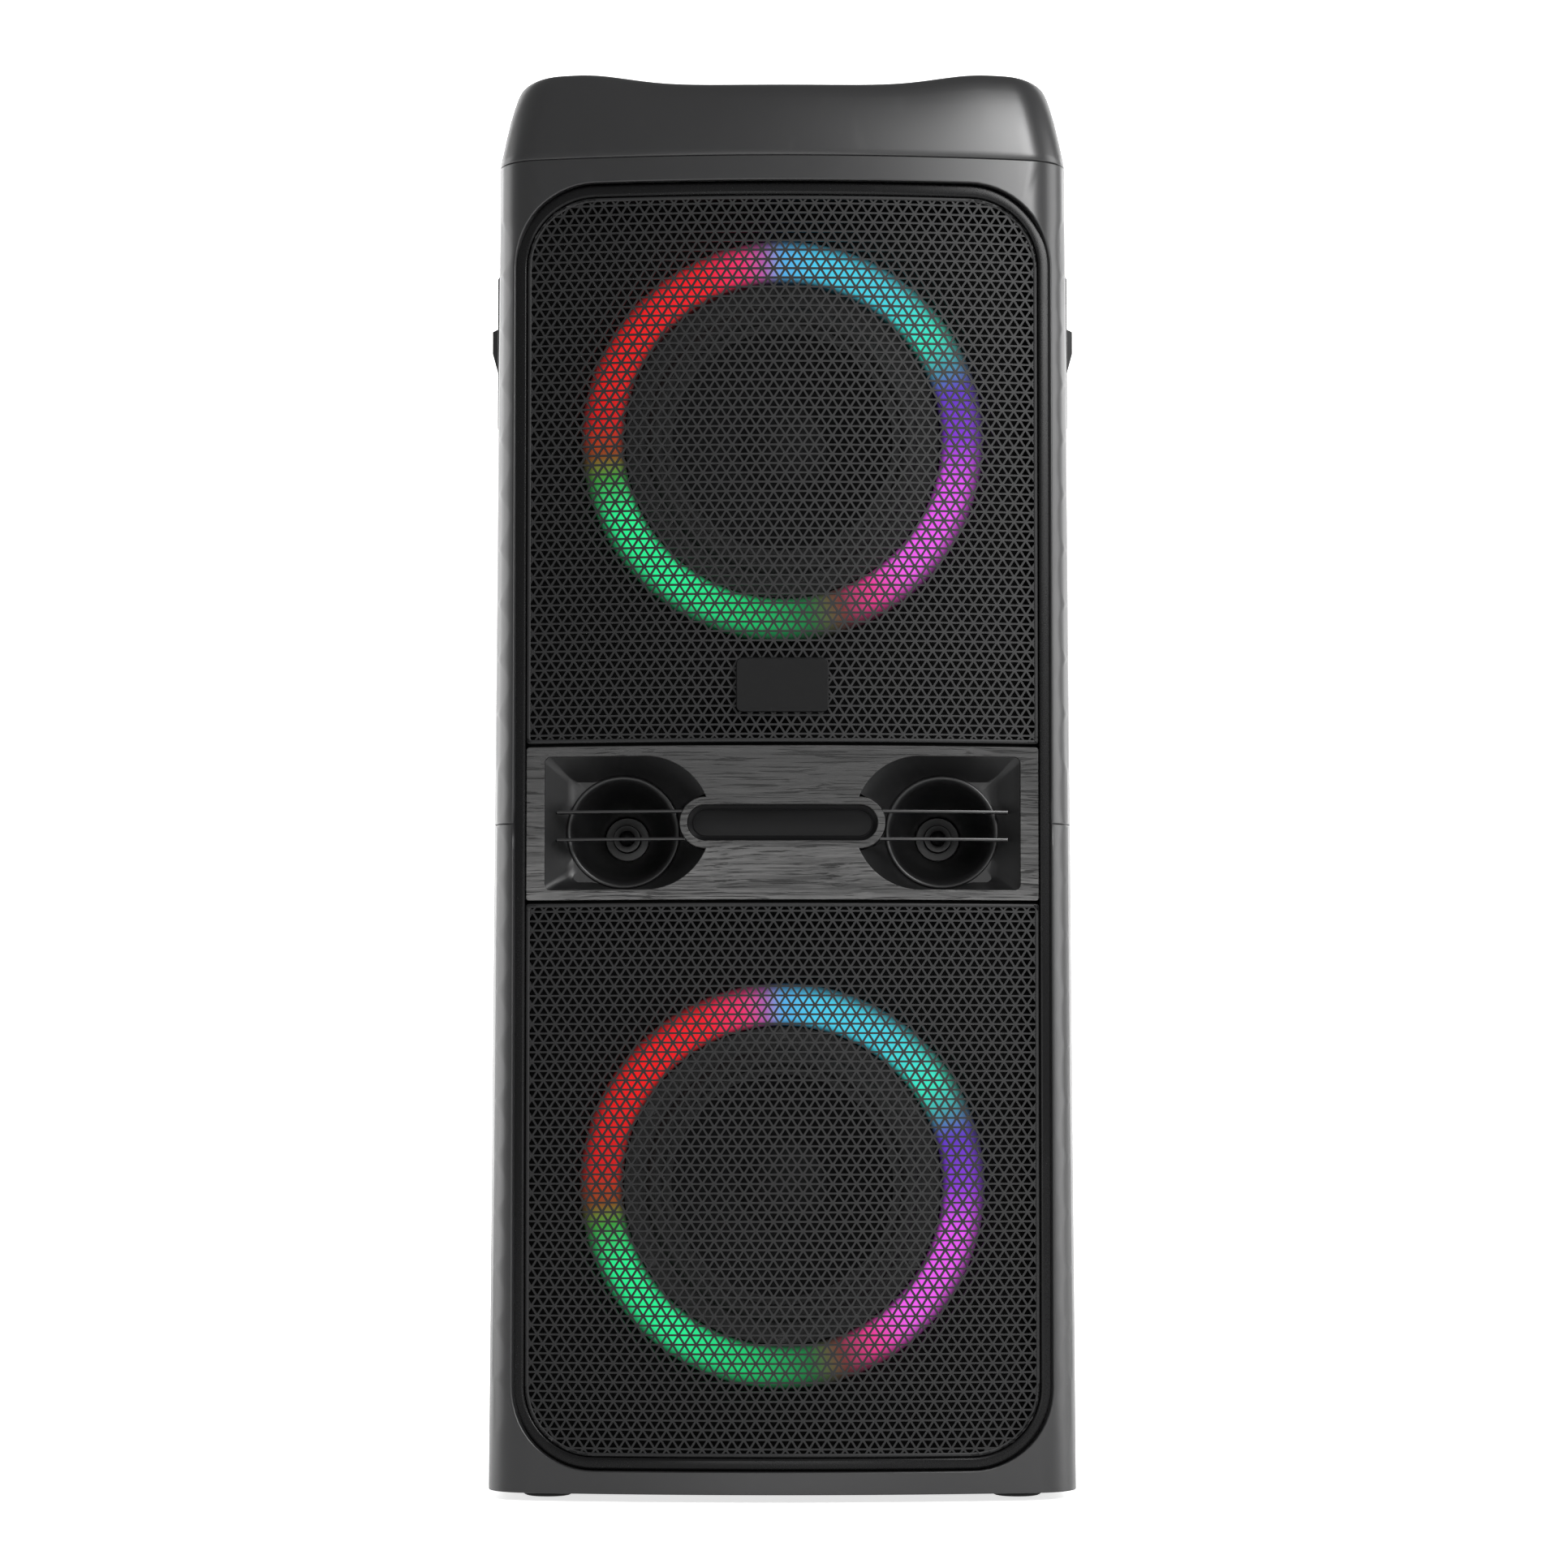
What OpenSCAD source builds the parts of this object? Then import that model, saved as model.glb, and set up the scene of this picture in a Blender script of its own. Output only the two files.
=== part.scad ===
// Party speaker: two woofers behind curved grilles, two horn tweeters beside a
// display, light rings, a control deck in the cap and a socket plate at the rear.
// The front faces -Y and +Z is up. The origin is on the floor, under the middle.

/* [Cabinet] */
// Height from the floor to the cap's two humps
total_h = 700; // [620:5:840]
// Width at the foot of the cabinet
base_w = 287; // [270:1:345]
// Width at the seam under the cap
seam_w = 279.2; // [264:0.2:337]
// Depth from the front bulge to the rear wall
depth = 330; // [290:5:400]
// Wall of the shells and the cap
wall = 4; // [3:0.5:6]
// Radius of the bulged front, seen from above
front_r = 600; // [500:10:900]
// Radius of the front corners
corner_r = 24; // [16:1:30]
// Radius of the rear corners
rear_r = 30; // [16:1:40]
// Height of the cap above its seam
cap_h = 46; // [42:1:60]
// Dip of the cap between its humps
valley_dip = 5; // [3:0.5:8]
// Thickness of the base plate
base_t = 4; // [3:0.5:8]

/* [Front] */
// Shell left under the front frame
frame_margin_bottom = 11.1; // [8:0.1:30]
// Shell left above the front frame
frame_margin_top = 12.2; // [8:0.1:30]
// Shell left beside the front frame, at the cap seam
frame_margin_side = 8; // [8:0.5:12]
// Corner radius of the front frame
frame_r = 40; // [20:1:60]
// Width of the gloss frame around the grilles
bezel_face = 6.2; // [4:0.2:10]
// How far the frame lies behind the front bulge
bezel_set_back = 4; // [2:0.5:8]
// How far the grilles and the horn panel lie behind the front bulge
grille_set_back = 5.5; // [4:0.5:10]
// Thickness of the grille sheet
sheet_t = 1.5; // [1:0.1:2]
// Thickness of the rim walls of the grilles and of the horn panel
rim_t = 2; // [1.5:0.1:3]
// Depth of the baffle's front plane behind the front bulge
baffle_set_back = 31; // [28:1:40]
// Thickness of the baffle
baffle_t = 12; // [9:1:18]
// Clearance between fixed pieces that fit into each other
fit = 0.25; // [0.1:0.05:0.5]

/* [Horns and display] */
// Height of the horn panel
panel_h = 75; // [68:1:90]
// Thickness of the horn panel
panel_t = 3; // [2:0.5:5]
// Gap between the horn panel and each grille
panel_gap = 1.6; // [0.5:0.1:4]
// Height of each horn recess
recess_h = 65; // [60:0.5:70]
// Distance from the middle to a recess's inner edge
recess_in_x = 34.7; // [30:0.1:40]
// Distance from the middle to a recess's outer edge
recess_out_x = 116; // [110:0.5:118]
// Distance from the middle to a horn's axis
horn_x = 78; // [74:0.5:82]
// How far a horn's axis lies below the panel's middle
horn_drop = 3.6; // [0:0.1:5]
// Radius of the horn mouth
mouth_r = 27; // [22:0.5:28]
// Radius of the horn throat
throat_r = 11; // [9:0.5:14]
// Depth of the horn behind its recess
horn_d = 60; // [40:1:70]
// Wall of the horn
horn_wall = 2.2; // [1.5:0.1:3]
// Thickness of the fins across the horns
fin_t = 1.4; // [1:0.1:2]
// Depth of the fins
fin_d = 5; // [3:0.5:7]
// Length of the display pod
pod_w = 100; // [90:1:104]
// Height of the display pod
pod_h = 25; // [22:0.5:28]
// Width of the pod's rim
pod_rim = 3.7; // [3:0.1:5]
// Width of the bevel between the pod's rim and the window
window_bevel = 2.3; // [1:0.1:3]
// Width of the badge plate
badge_w = 45; // [30:1:60]
// Height of the badge plate
badge_h = 26.4; // [18:0.2:30]
// Thickness of the badge plate
badge_t = 2.5; // [1.5:0.1:4]
// Glue line between the badge plate and the grille
badge_gap = 0.1; // [0.05:0.05:0.3]
// Gap from the horn panel up to the badge plate
badge_rise = 14.5; // [8:0.5:20]

/* [Woofers and light rings] */
// Radius of the woofer's flange
flange_r = 77.3; // [72:0.1:84]
// Thickness of the flange
flange_t = 3; // [2:0.5:4]
// Radius of the surround's outer edge
surround_r = 70.6; // [66:0.1:76]
// Radius of the half roll's section
roll_r = 4; // [3:0.25:5]
// Radius of the cone
cone_r = 58; // [52:0.5:60]
// Radius of the voice coil's inner wall
coil_r = 18.4; // [15:0.1:25]
// Depth of the basket behind the baffle's front plane
basket_d = 34; // [30:1:40]
// Radius of the ring magnet
magnet_r = 50; // [42:1:56]
// Thickness of the ring magnet
magnet_t = 18; // [12:1:24]
// Clearance of the voice coil in its magnet gap
coil_gap = 0.4; // [0.3:0.05:0.6]
// How far the cones move each way
cone_travel = 4; // [2:0.5:5]
// Width of the light ring
ring_w = 20.9; // [14:0.1:24]
// Depth of the light ring
ring_d = 9; // [6:0.5:12]
// Wall of the light ring's channel
ring_wall = 1.6; // [1.2:0.1:2.5]
// How far the upper woofer lies above the middle of its grille
woofer_rise = 17; // [10:0.5:20]
// How far the lower woofer lies below the middle of its grille
woofer_drop = 4; // [0:0.5:10]
// Number of screws on a woofer
woofer_screws_n = 6; // [4:1:8]

/* [Handles and feet] */
// Height of the handle's plate
handle_h = 79; // [70:1:90]
// Length of the handle's plate
handle_l = 124; // [110:1:150]
// How far the handle's plate stands out
handle_proud = 1.4; // [1:0.1:3]
// How far the grip's lip stands out of the plate
lip_proud = 3; // [2:0.1:4]
// Height of the middle of the handles
handle_z = 565.5; // [520:0.5:570]
// How far forward of the middle the handles sit
handle_forward = 50; // [0:1:60]
// Depth of the finger pocket
pocket_d = 30; // [24:1:40]
// Height of the pocket's mouth under the lip
mouth_h = 21; // [18:1:26]
// Height of the feet
foot_h = 4; // [3:0.5:6]
// Radius of the feet
foot_r = 13; // [10:0.5:16]
// Distance from the middle to a foot, sideways
foot_x = 115; // [100:1:118]
// Distance from the middle to a foot, front to back
foot_y = 118; // [100:1:124]

/* [Control deck] */
// Width of the deck
deck_w = 207; // [200:1:214]
// Length of the deck, front to back
deck_l = 190; // [170:1:200]
// Depth of the deck below the humps
deck_drop = 20; // [18:0.5:24]
// Thickness of the deck
deck_t = 3; // [2:0.5:4]
// Radius of the volume knob
knob_r = 24; // [18:0.5:26]
// Height of the volume knob
knob_h = 13; // [10:0.5:14]
// Radius of the microphone level knob
mic_knob_r = 10; // [8:0.5:12]
// Height of the microphone level knob
mic_knob_h = 10; // [8:0.5:12]
// Radius of the knob shafts
shaft_r = 3; // [2.5:0.1:4]
// Radius of the buttons
button_r = 9; // [7:0.5:11]
// How far the buttons stand above the deck
button_rise = 2; // [1.4:0.1:3]
// Travel of the buttons
button_travel = 1; // [0.6:0.1:1.2]

/* [Rear] */
// Width of the socket plate
plate_w = 190; // [170:1:200]
// Height of the socket plate
plate_h = 120; // [110:1:130]
// Thickness of the socket plate
plate_t = 3; // [2.5:0.5:4]
// Height of the middle of the socket plate
plate_z = 470; // [420:1:480]
// Inner radius of the bass port
port_r = 27; // [22:0.5:32]
// Length of the bass port
port_l = 110; // [80:5:120]
// Height of the bass port's axis
port_z = 235; // [200:1:260]
// Radius of a jack socket's bore
jack_r = 3.25; // [3.2:0.05:3.4]
// Depth of a jack socket's bore
jack_l = 24; // [20:1:30]
// Radius of the rocker's pivot pins
pivot_r = 1.5; // [1.2:0.1:2]
// Running clearance of shafts and pivots
run_gap = 0.06; // [0.03:0.01:0.1]
// Tilt of the rocker from the middle to its off stop
rocker_tilt = 7; // [4:0.5:10]

/* [Hidden] */
$fn = 96;
hull_fn = 32;
drum_fn = 720;
eps = 0.01;
past = 1;

// Heights of the cabinet's seams and of what fills its front
seam_z = total_h - cap_h;
frame_z0 = foot_h + frame_margin_bottom;
frame_z1 = seam_z - frame_margin_top;
frame_h = frame_z1 - frame_z0;
frame_cz = (frame_z0 + frame_z1) / 2;
frame_w = seam_w - 2 * frame_margin_side;
mid_seam_z = frame_cz;
panel_z = frame_cz;
front_y = -depth / 2;
rear_y = depth / 2;
front_axis_y = front_y + front_r;
baffle_y = front_y + baffle_set_back;
opening_z0 = frame_z0 + bezel_face;
opening_z1 = frame_z1 - bezel_face;
panel_z0 = panel_z - panel_h / 2;
panel_z1 = panel_z + panel_h / 2;
lower_woofer_z = (opening_z0 + panel_z0) / 2 - woofer_drop;
upper_woofer_z = (opening_z1 + panel_z1) / 2 + woofer_rise;
horn_z = panel_z - horn_drop;
base_z = foot_h + base_t;
base_screw_at = [for (x = [-1, 1], y = [-1, 0, 1]) [x * 92, y * 140]];
window_y = front_y + grille_set_back + 7;
window_t = 2;
digit_t = 3;
display_board_t = 1.6;
pod_back_y = window_y + window_t + digit_t + display_board_t;
cup_l = handle_l - 20;
cup_h = handle_h - 12;

// Woofer depths, measured from the baffle's front plane into the cabinet
rim_d = -flange_t;
land_t = 0.8;
cone_t = 0.9;
cone_front_d = rim_d + 0.3;
cone_neck_d = 26;
former_t = 0.6;
winding_t = 0.5;
neck_r = coil_r + former_t + 0.1;
back_ring_t = 3;
top_plate_d = basket_d + back_ring_t;
top_plate_t = 5;
magnet_d = top_plate_d + top_plate_t;
yoke_d = magnet_d + magnet_t;
yoke_t = 6;
gap_r = coil_r + former_t + winding_t + coil_gap;
pole_r = coil_r - coil_gap;
spider_d = basket_d - 4;
spider_r = 45.5;
ledge_in_r = 41.5;
land_w = 4.2;
roll_mid_r = surround_r - land_w - roll_r;
ring_in_r = flange_r + 0.5;
ring_out_r = ring_in_r + ring_w;
ring_mid_r = (ring_in_r + ring_out_r) / 2;
led_board_t = 1.6;
led_w = 3.5;
led_t = 1;
leds_n = 24;
screw_r = 1.5;
head_r = 2.7;
head_t = 1.6;
woofer_screw_circle = 74;
woofer_screw_l = 14;
woofer_screw_angles = [for (i = [0:woofer_screws_n - 1]) 360 / woofer_screws_n * (i + 0.5)];

// Control deck heights and places
deck_z = total_h - deck_drop;
deck_top = deck_z + deck_t;
deck_y = 8;
ledge_w = 6;
ledge_t = 3;
tray_wall = 3;
deck_r = 18;
board_z = deck_z - 16;
board_t = 1.6;
board_top = board_z + board_t;
encoder_h = 6;
encoder_w = 13;
switch_h = 3.4;
switch_w = 6;
knob_y = -8;
mic_knob_at = [0, 52];
button_x = [-76, -46, 46, 76];
stem_gap = 0.3;
cap_skirt = 4;
board_w = 184;
board_l = 110;
board_y = 15;

// Socket plate places
plate_y0 = rear_y - wall;
plate_lip = 5;
plate_face_y = plate_y0 + plate_t - 1;
inlet_at = [-62, plate_z - 23.5];
inlet_w = 50;
inlet_h = 29;
inlet_d = 30;
inlet_flange = 3;
inlet_flange_t = 1.6;
socket_w = 21;
socket_h = 12;
socket_d = 18;
contact_r = 1.2;
contact_pitch = 8.6;
rocker_w = 13;
rocker_h = 19;
rocker_d = 8;
rocker_gap = 0.5;
rocker_dx = 13;
socket_dx = -11;
jack_at = [[30, plate_z - 28], [62, plate_z - 28]];
jack_body_r = 8;
jack_thread_r = 5.5;
nut_r = 8.5;
nut_t = 1.6;
usb_at = [46, plate_z + 22];
usb_w = 13.2;
usb_h = 5.8;
usb_wall = 1;
usb_d = 16;
standoff_r = 4;
amp_y = rear_y - 40;
amp_t = 1.6;
amp_w = 150;
amp_h = 100;
pin_l = 3;
rocker_y = plate_face_y - 4;
plate_r = 8;
plate_screw_in = 7;
plate_screw_at = [for (x = [-1, 0, 1], z = [-1, 1])
    [x * (plate_w / 2 - plate_screw_in), plate_z + z * (plate_h / 2 - plate_screw_in)]];
port_flare = 6;
port_flare_r = port_r + port_flare;

function lerp(a, b, t) = a + (b - a) * t;
function half_w(z) = lerp(base_w, seam_w, (z - foot_h) / (seam_z - foot_h)) / 2;
function arc(x, y, r, a0, a1, n) =
    [for (i = [0:n]) let (a = lerp(a0, a1, i / n)) [x + r * cos(a), y + r * sin(a)]];

// Plan of the cabinet: a bulged front, two rounded front corners, straight sides
function plan(w, y0, y1, r, c, cr) =
    let (
        cy = y0 + r,
        ky = cy - sqrt(pow(r - c, 2) - pow(w - c, 2)),
        t = atan2(ky - cy, w - c)
    )
    concat(
        arc(0, cy, r, -180 - t, t, 16),
        arc(w - c, ky, c, t, 0, 8),
        arc(w - cr, y1 - cr, cr, 0, 90, 8),
        arc(cr - w, y1 - cr, cr, 90, 180, 8),
        arc(c - w, ky, c, 180, 180 - t, 8)
    );

// Cabinet body between two heights, each half tilted inwards by the sides' taper
module tapered(z0, z1, inset) {
    taper = atan((base_w - seam_w) / 2 / (seam_z - foot_h));
    outline = plan(base_w / 2 - inset, front_y + inset, rear_y - inset,
        front_r - inset, corner_r - inset, rear_r - inset);
    for (half = [0, 1])
        mirror([half, 0, 0]) intersection() {
            translate([0, 0, foot_h]) rotate([0, -taper, 0]) translate([0, 0, -total_h])
                linear_extrude(3 * total_h) polygon(outline);
            translate([0, -depth, z0]) cube([base_w, 2 * depth, z1 - z0]);
        }
}

module rounded(w, h, r) {
    square([w, h - 2 * r], center = true);
    square([w - 2 * r, h], center = true);
    for (x = [-1, 1], y = [-1, 1])
        translate([x * (w / 2 - r), y * (h / 2 - r)]) circle(r = r);
}

// A flat shape drawn in X and Z, extruded from one depth to another
module along_y(y0, y1) {
    translate([0, y1, 0]) rotate([90, 0, 0]) linear_extrude(y1 - y0) children();
}

module front_drum(set_back) {
    translate([0, front_axis_y, -past])
        cylinder(r = front_r - set_back, h = total_h + 2 * past, $fn = drum_fn);
}

module frame_outline(grow) {
    translate([0, frame_cz]) rounded(frame_w + 2 * grow, frame_h + 2 * grow, frame_r + grow);
}

module band(z0, z1, grow) {
    intersection() {
        frame_outline(grow - bezel_face - fit);
        translate([-base_w / 2, z0 - grow]) square([base_w, z1 - z0 + 2 * grow]);
    }
}

// --- Cabinet ---

module shell_tube(z0, z1) {
    difference() {
        tapered(z0, z1, 0);
        tapered(z0 - past, z1 + past, wall);
        along_y(front_y - past, baffle_y) frame_outline(0);
    }
}

module lower_shell() color([0.17, 0.17, 0.18]) {
    difference() {
        shell_tube(foot_h, mid_seam_z);
        translate([0, rear_y - wall - past, port_z]) rotate([-90, 0, 0])
            cylinder(r = port_flare_r + fit, h = wall + 2 * past);
    }
}

module upper_shell() color([0.17, 0.17, 0.18]) {
    difference() {
        shell_tube(mid_seam_z, seam_z);
        along_y(rear_y - wall - past, rear_y + past)
            translate([0, plate_z]) rounded(plate_w + 2 * fit, plate_h + 2 * fit, plate_r);
        for (s = [-1, 1])
            translate([s * (half_w(handle_z) - wall / 2), -handle_forward, handle_z])
                cube([2 * wall + 2, cup_l + 2 * fit, cup_h + 2 * fit], center = true);
        for (at = plate_screw_at)
            translate([at[0], rear_y - wall - past, at[1]]) rotate([-90, 0, 0])
                cylinder(r = screw_r + fit, h = wall + 2 * past);
    }
}
// Cap slices: drop below the humps, how far the sides draw in, how far the front
// leans back and how far the rear leans in
cap_slices = [
    [cap_h, 0, 0, 0], [33, 2.2, 2, 1], [21, 4.6, 5.5, 3], [9, 8.2, 12, 6],
    [6, 9.6, 15, 8], [3.8, 12, 19, 11], [0, 38, 44, 30]
];

module cap_slab(drop, side, lean, rear, inset) {
    w = seam_w / 2 - side - inset;
    outline = plan(w, front_y + lean + inset, rear_y - rear - inset,
        front_r - inset, corner_r - inset, rear_r - inset);
    translate([0, 0, total_h - drop - (drop > 0 ? 0 : eps)]) linear_extrude(eps) polygon(outline);
}

module deck_outline(grow) {
    translate([0, deck_y]) rounded(deck_w + 2 * grow, deck_l + 2 * grow, deck_r + grow);
}

module top_cap() color([0.17, 0.17, 0.18]) {
    valley_half = 85;
    valley_r = (pow(valley_half, 2) + pow(valley_dip, 2)) / (2 * valley_dip);
    difference() {
        hull() for (s = cap_slices) cap_slab(s[0], s[1], s[2], s[3], 0);
        translate([0, front_y - past, total_h - valley_dip + valley_r]) rotate([-90, 0, 0])
            cylinder(r = valley_r, h = depth + 2 * past, $fn = drum_fn);
        difference() {
            hull() {
                cap_slab(cap_h + past, 0, 0, 0, wall);
                cap_slab(21, 4.6, 5.5, 3, wall);
                cap_slab(9, 12, 16, 10, wall);
            }
            translate([0, 0, deck_z - ledge_t]) linear_extrude(deck_drop)
                deck_outline(fit + tray_wall);
        }
        translate([0, 0, deck_z]) linear_extrude(deck_drop + past) deck_outline(fit);
        translate([0, 0, deck_z - ledge_t - past]) linear_extrude(deck_drop)
            deck_outline(-ledge_w);
    }
}

module base_plate() color([0.12, 0.12, 0.12]) {
    outline = plan(half_w(foot_h) - wall - fit, front_y + wall + fit, rear_y - wall - fit,
        front_r - wall, corner_r - wall, rear_r - wall);
    difference() {
        translate([0, 0, foot_h]) linear_extrude(base_t) polygon(outline);
        for (at = base_screw_at)
            translate([at[0], at[1], foot_h - past]) {
                cylinder(r = screw_r + 0.1, h = base_t + 2 * past);
                cylinder(r = head_r + 0.3, h = head_t + past + 0.2);
            }
    }
}
module feet() color([0.06, 0.06, 0.06]) {
    tread_r = foot_r - 2.5;
    for (x = [-1, 1], y = [-1, 1])
        translate([x * foot_x, y * foot_y, 0]) rotate_extrude()
            polygon([[0, 0], [tread_r, 0], [foot_r - 0.7, 0.9], [foot_r, 2.2],
                [foot_r, foot_h], [0, foot_h]]);
}

// --- Front ---

module bezel_frame() color([0.06, 0.06, 0.065]) {
    difference() {
        intersection() {
            along_y(front_y, baffle_y) frame_outline(-fit);
            front_drum(bezel_set_back);
        }
        along_y(front_y - past, baffle_y + past) frame_outline(-bezel_face);
    }
}

module baffle() color([0.25, 0.2, 0.15]) {
    lap = 2.5;
    woofer_hole_r = 68;
    difference() {
        along_y(baffle_y, baffle_y + baffle_t) frame_outline(lap);
        for (z = [lower_woofer_z, upper_woofer_z]) {
            into_baffle(0, z, -past) cylinder(r = woofer_hole_r, h = baffle_t + 2 * past);
            for (a = woofer_screw_angles)
                into_baffle(0, z, -past) rotate(a) translate([woofer_screw_circle, 0, 0])
                    cylinder(r = screw_r + 0.02, h = woofer_screw_l + past);
        }
        for (s = [-1, 1])
            into_baffle(s * horn_x, horn_z, -past)
                cylinder(r = mouth_r + horn_wall + 1, h = baffle_t + 2 * past);
    }
}
// Local +Z runs into the cabinet, from the baffle's front plane
module into_baffle(x, z, d) {
    translate([x, baffle_y + d, z]) rotate([-90, 0, 0]) children();
}

module grille(z0, z1) color([0.16, 0.16, 0.17]) {
    difference() {
        intersection() {
            along_y(front_y, baffle_y) band(z0, z1, 0);
            front_drum(grille_set_back);
        }
        intersection() {
            along_y(front_y - past, baffle_y + past) band(z0, z1, -rim_t);
            front_drum(grille_set_back + sheet_t);
        }
    }
}

module upper_grille() grille(panel_z1 + panel_gap, frame_z1);

module lower_grille() grille(frame_z0, panel_z0 - panel_gap);

module badge_plate() color([0.15, 0.15, 0.15]) {
    badge_z = panel_z1 + panel_gap + badge_rise + badge_h / 2;
    difference() {
        intersection() {
            along_y(front_y, baffle_y) translate([0, badge_z]) rounded(badge_w, badge_h, 3);
            front_drum(grille_set_back - badge_t);
        }
        front_drum(grille_set_back - badge_gap);
    }
}

// --- Horns and display ---

// Outline of a horn recess: straight outside, a half round towards the display
module recess_outline(s, grow) {
    r = recess_h / 2;
    mid_x = recess_in_x + r;
    edge_r = 3;
    side_w = recess_out_x - mid_x;
    translate([s * mid_x, panel_z]) circle(r = r + grow);
    translate([s * (mid_x + side_w / 2 - edge_r), panel_z])
        rounded(side_w + 2 * edge_r + 2 * grow, recess_h + 2 * grow, edge_r + grow);
}

module pill(w, h) {
    translate([0, panel_z]) rounded(w, h, h / 2 - eps);
}

module horn_panel() color([0.28, 0.27, 0.26]) {
    difference() {
        union() {
            difference() {
                intersection() {
                    along_y(front_y, baffle_y) band(panel_z0, panel_z1, 0);
                    front_drum(grille_set_back);
                }
                intersection() {
                    along_y(front_y - past, baffle_y + past) band(panel_z0, panel_z1, -rim_t);
                    front_drum(grille_set_back + panel_t);
                }
                for (s = [-1, 1])
                    along_y(front_y - past, baffle_y + past) intersection() {
                        recess_outline(s, 0);
                        band(panel_z0, panel_z1, -rim_t);
                    }
            }
            intersection() {
                along_y(front_y, pod_back_y) pill(pod_w, pod_h);
                front_drum(grille_set_back);
            }
        }
        along_y(front_y - past, baffle_y) pill(pod_w - 2 * pod_rim, pod_h - 2 * pod_rim);
    }
}

module horn(s) color([0.09, 0.09, 0.09]) {
    floor_t = 2;
    neck_flange = 3;
    difference() {
        union() {
            intersection() {
                along_y(front_y, baffle_y) intersection() {
                    recess_outline(s, horn_wall);
                    band(panel_z0, panel_z1, -rim_t - 0.1);
                }
                front_drum(grille_set_back + panel_t + 0.1);
            }
            into_baffle(s * horn_x, horn_z, -floor_t)
                cylinder(r1 = mouth_r + horn_wall, r2 = throat_r + horn_wall, h = horn_d);
            into_baffle(s * horn_x, horn_z, horn_d - floor_t - neck_flange)
                cylinder(r = throat_r + 9, h = neck_flange);
        }
        hull() {
            along_y(front_y - past, front_y + 4) recess_outline(s, 0, $fn = hull_fn);
            along_y(baffle_y - floor_t - eps, baffle_y - floor_t) {
                translate([s * horn_x, horn_z]) circle(r = mouth_r + 0.5, $fn = 2 * hull_fn);
                translate([s * (horn_x + 14), horn_z]) square([32, 2 * mouth_r], center = true);
            }
        }
        into_baffle(s * horn_x, horn_z, -floor_t - eps) {
            cylinder(r1 = mouth_r, r2 = throat_r, h = horn_d);
            cylinder(r = throat_r, h = horn_d + past);
        }
        along_y(front_y, pod_back_y + fit) pill(pod_w + 2 * fit, pod_h + 2 * fit);
    }
}

module left_horn() horn(-1);

module right_horn() horn(1);

// Two curved fins cross each horn, from the pod to the recess's outer wall
module horn_fins() color([0.07, 0.07, 0.07]) {
    fin_front = 2;
    for (s = [-1, 1], dz = [5.7, -7.8]) {
        inner_x = pod_w / 2 - pod_h / 2 + sqrt(pow(pod_h / 2, 2) - pow(dz, 2)) + fit;
        outer_x = recess_out_x - 6;
        difference() {
            intersection() {
                translate([s * (inner_x + outer_x) / 2, baffle_y - depth / 4, panel_z + dz])
                    cube([outer_x - inner_x, depth / 2, fin_t], center = true);
                front_drum(grille_set_back + fin_front);
            }
            front_drum(grille_set_back + fin_front + fin_d);
        }
    }
}

module tweeter(s) color([0.2, 0.2, 0.2]) {
    driver_flange_r = 20;
    driver_flange_t = 4;
    driver_r = 25;
    driver_d = 24;
    into_baffle(s * horn_x, horn_z, horn_d - 2) {
        cylinder(r = driver_flange_r, h = driver_flange_t);
        translate([0, 0, driver_flange_t]) cylinder(r = driver_r, h = driver_d);
        translate([0, 0, driver_flange_t + driver_d]) cylinder(r = driver_r - 4, h = 4);
    }
}

module left_tweeter() tweeter(-1);

module right_tweeter() tweeter(1);

module phase_plugs() color([0.12, 0.12, 0.12]) {
    base_r = throat_r - 0.3;
    for (s = [-1, 1])
        into_baffle(s * horn_x, horn_z, horn_d - 2) rotate_extrude()
            polygon([[0, 0], [base_r, 0], [base_r, -3], [6.9, -3], [6.9, -9], [3.6, -9],
                [3.6, -14], [2, -16], [0, -16]]);
}

module display_window() color([0.1, 0.1, 0.1]) {
    flange_w = pod_w - 2 * pod_rim - 2 * fit;
    flange_h = pod_h - 2 * pod_rim - 2 * fit;
    along_y(window_y, window_y + window_t) pill(flange_w, flange_h);
    along_y(window_y - 3, window_y) pill(flange_w - 2 * window_bevel, flange_h - 2 * window_bevel);
}
module display_board() color([0.05, 0.25, 0.12]) {
    w = pod_w - 2 * pod_rim - 2 * fit;
    h = pod_h - 2 * pod_rim - 2 * fit;
    along_y(pod_back_y - display_board_t, pod_back_y) pill(w, h);
    for (i = [-1.5:1.5])
        along_y(window_y + window_t, pod_back_y - display_board_t + eps)
            translate([i * 14, panel_z]) square([12, 10], center = true);
}

// --- Woofers and light rings ---

module light_ring(z) color([0.85, 0.85, 0.9]) {
    into_baffle(0, z, -ring_d) rotate_extrude()
        polygon([
            [ring_in_r, ring_d], [ring_in_r, 0], [ring_out_r, 0], [ring_out_r, ring_d],
            [ring_out_r - ring_wall, ring_d], [ring_out_r - ring_wall, ring_wall],
            [ring_in_r + ring_wall, ring_wall], [ring_in_r + ring_wall, ring_d]
        ]);
}

module upper_light_ring() light_ring(upper_woofer_z);

module lower_light_ring() light_ring(lower_woofer_z);

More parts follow.
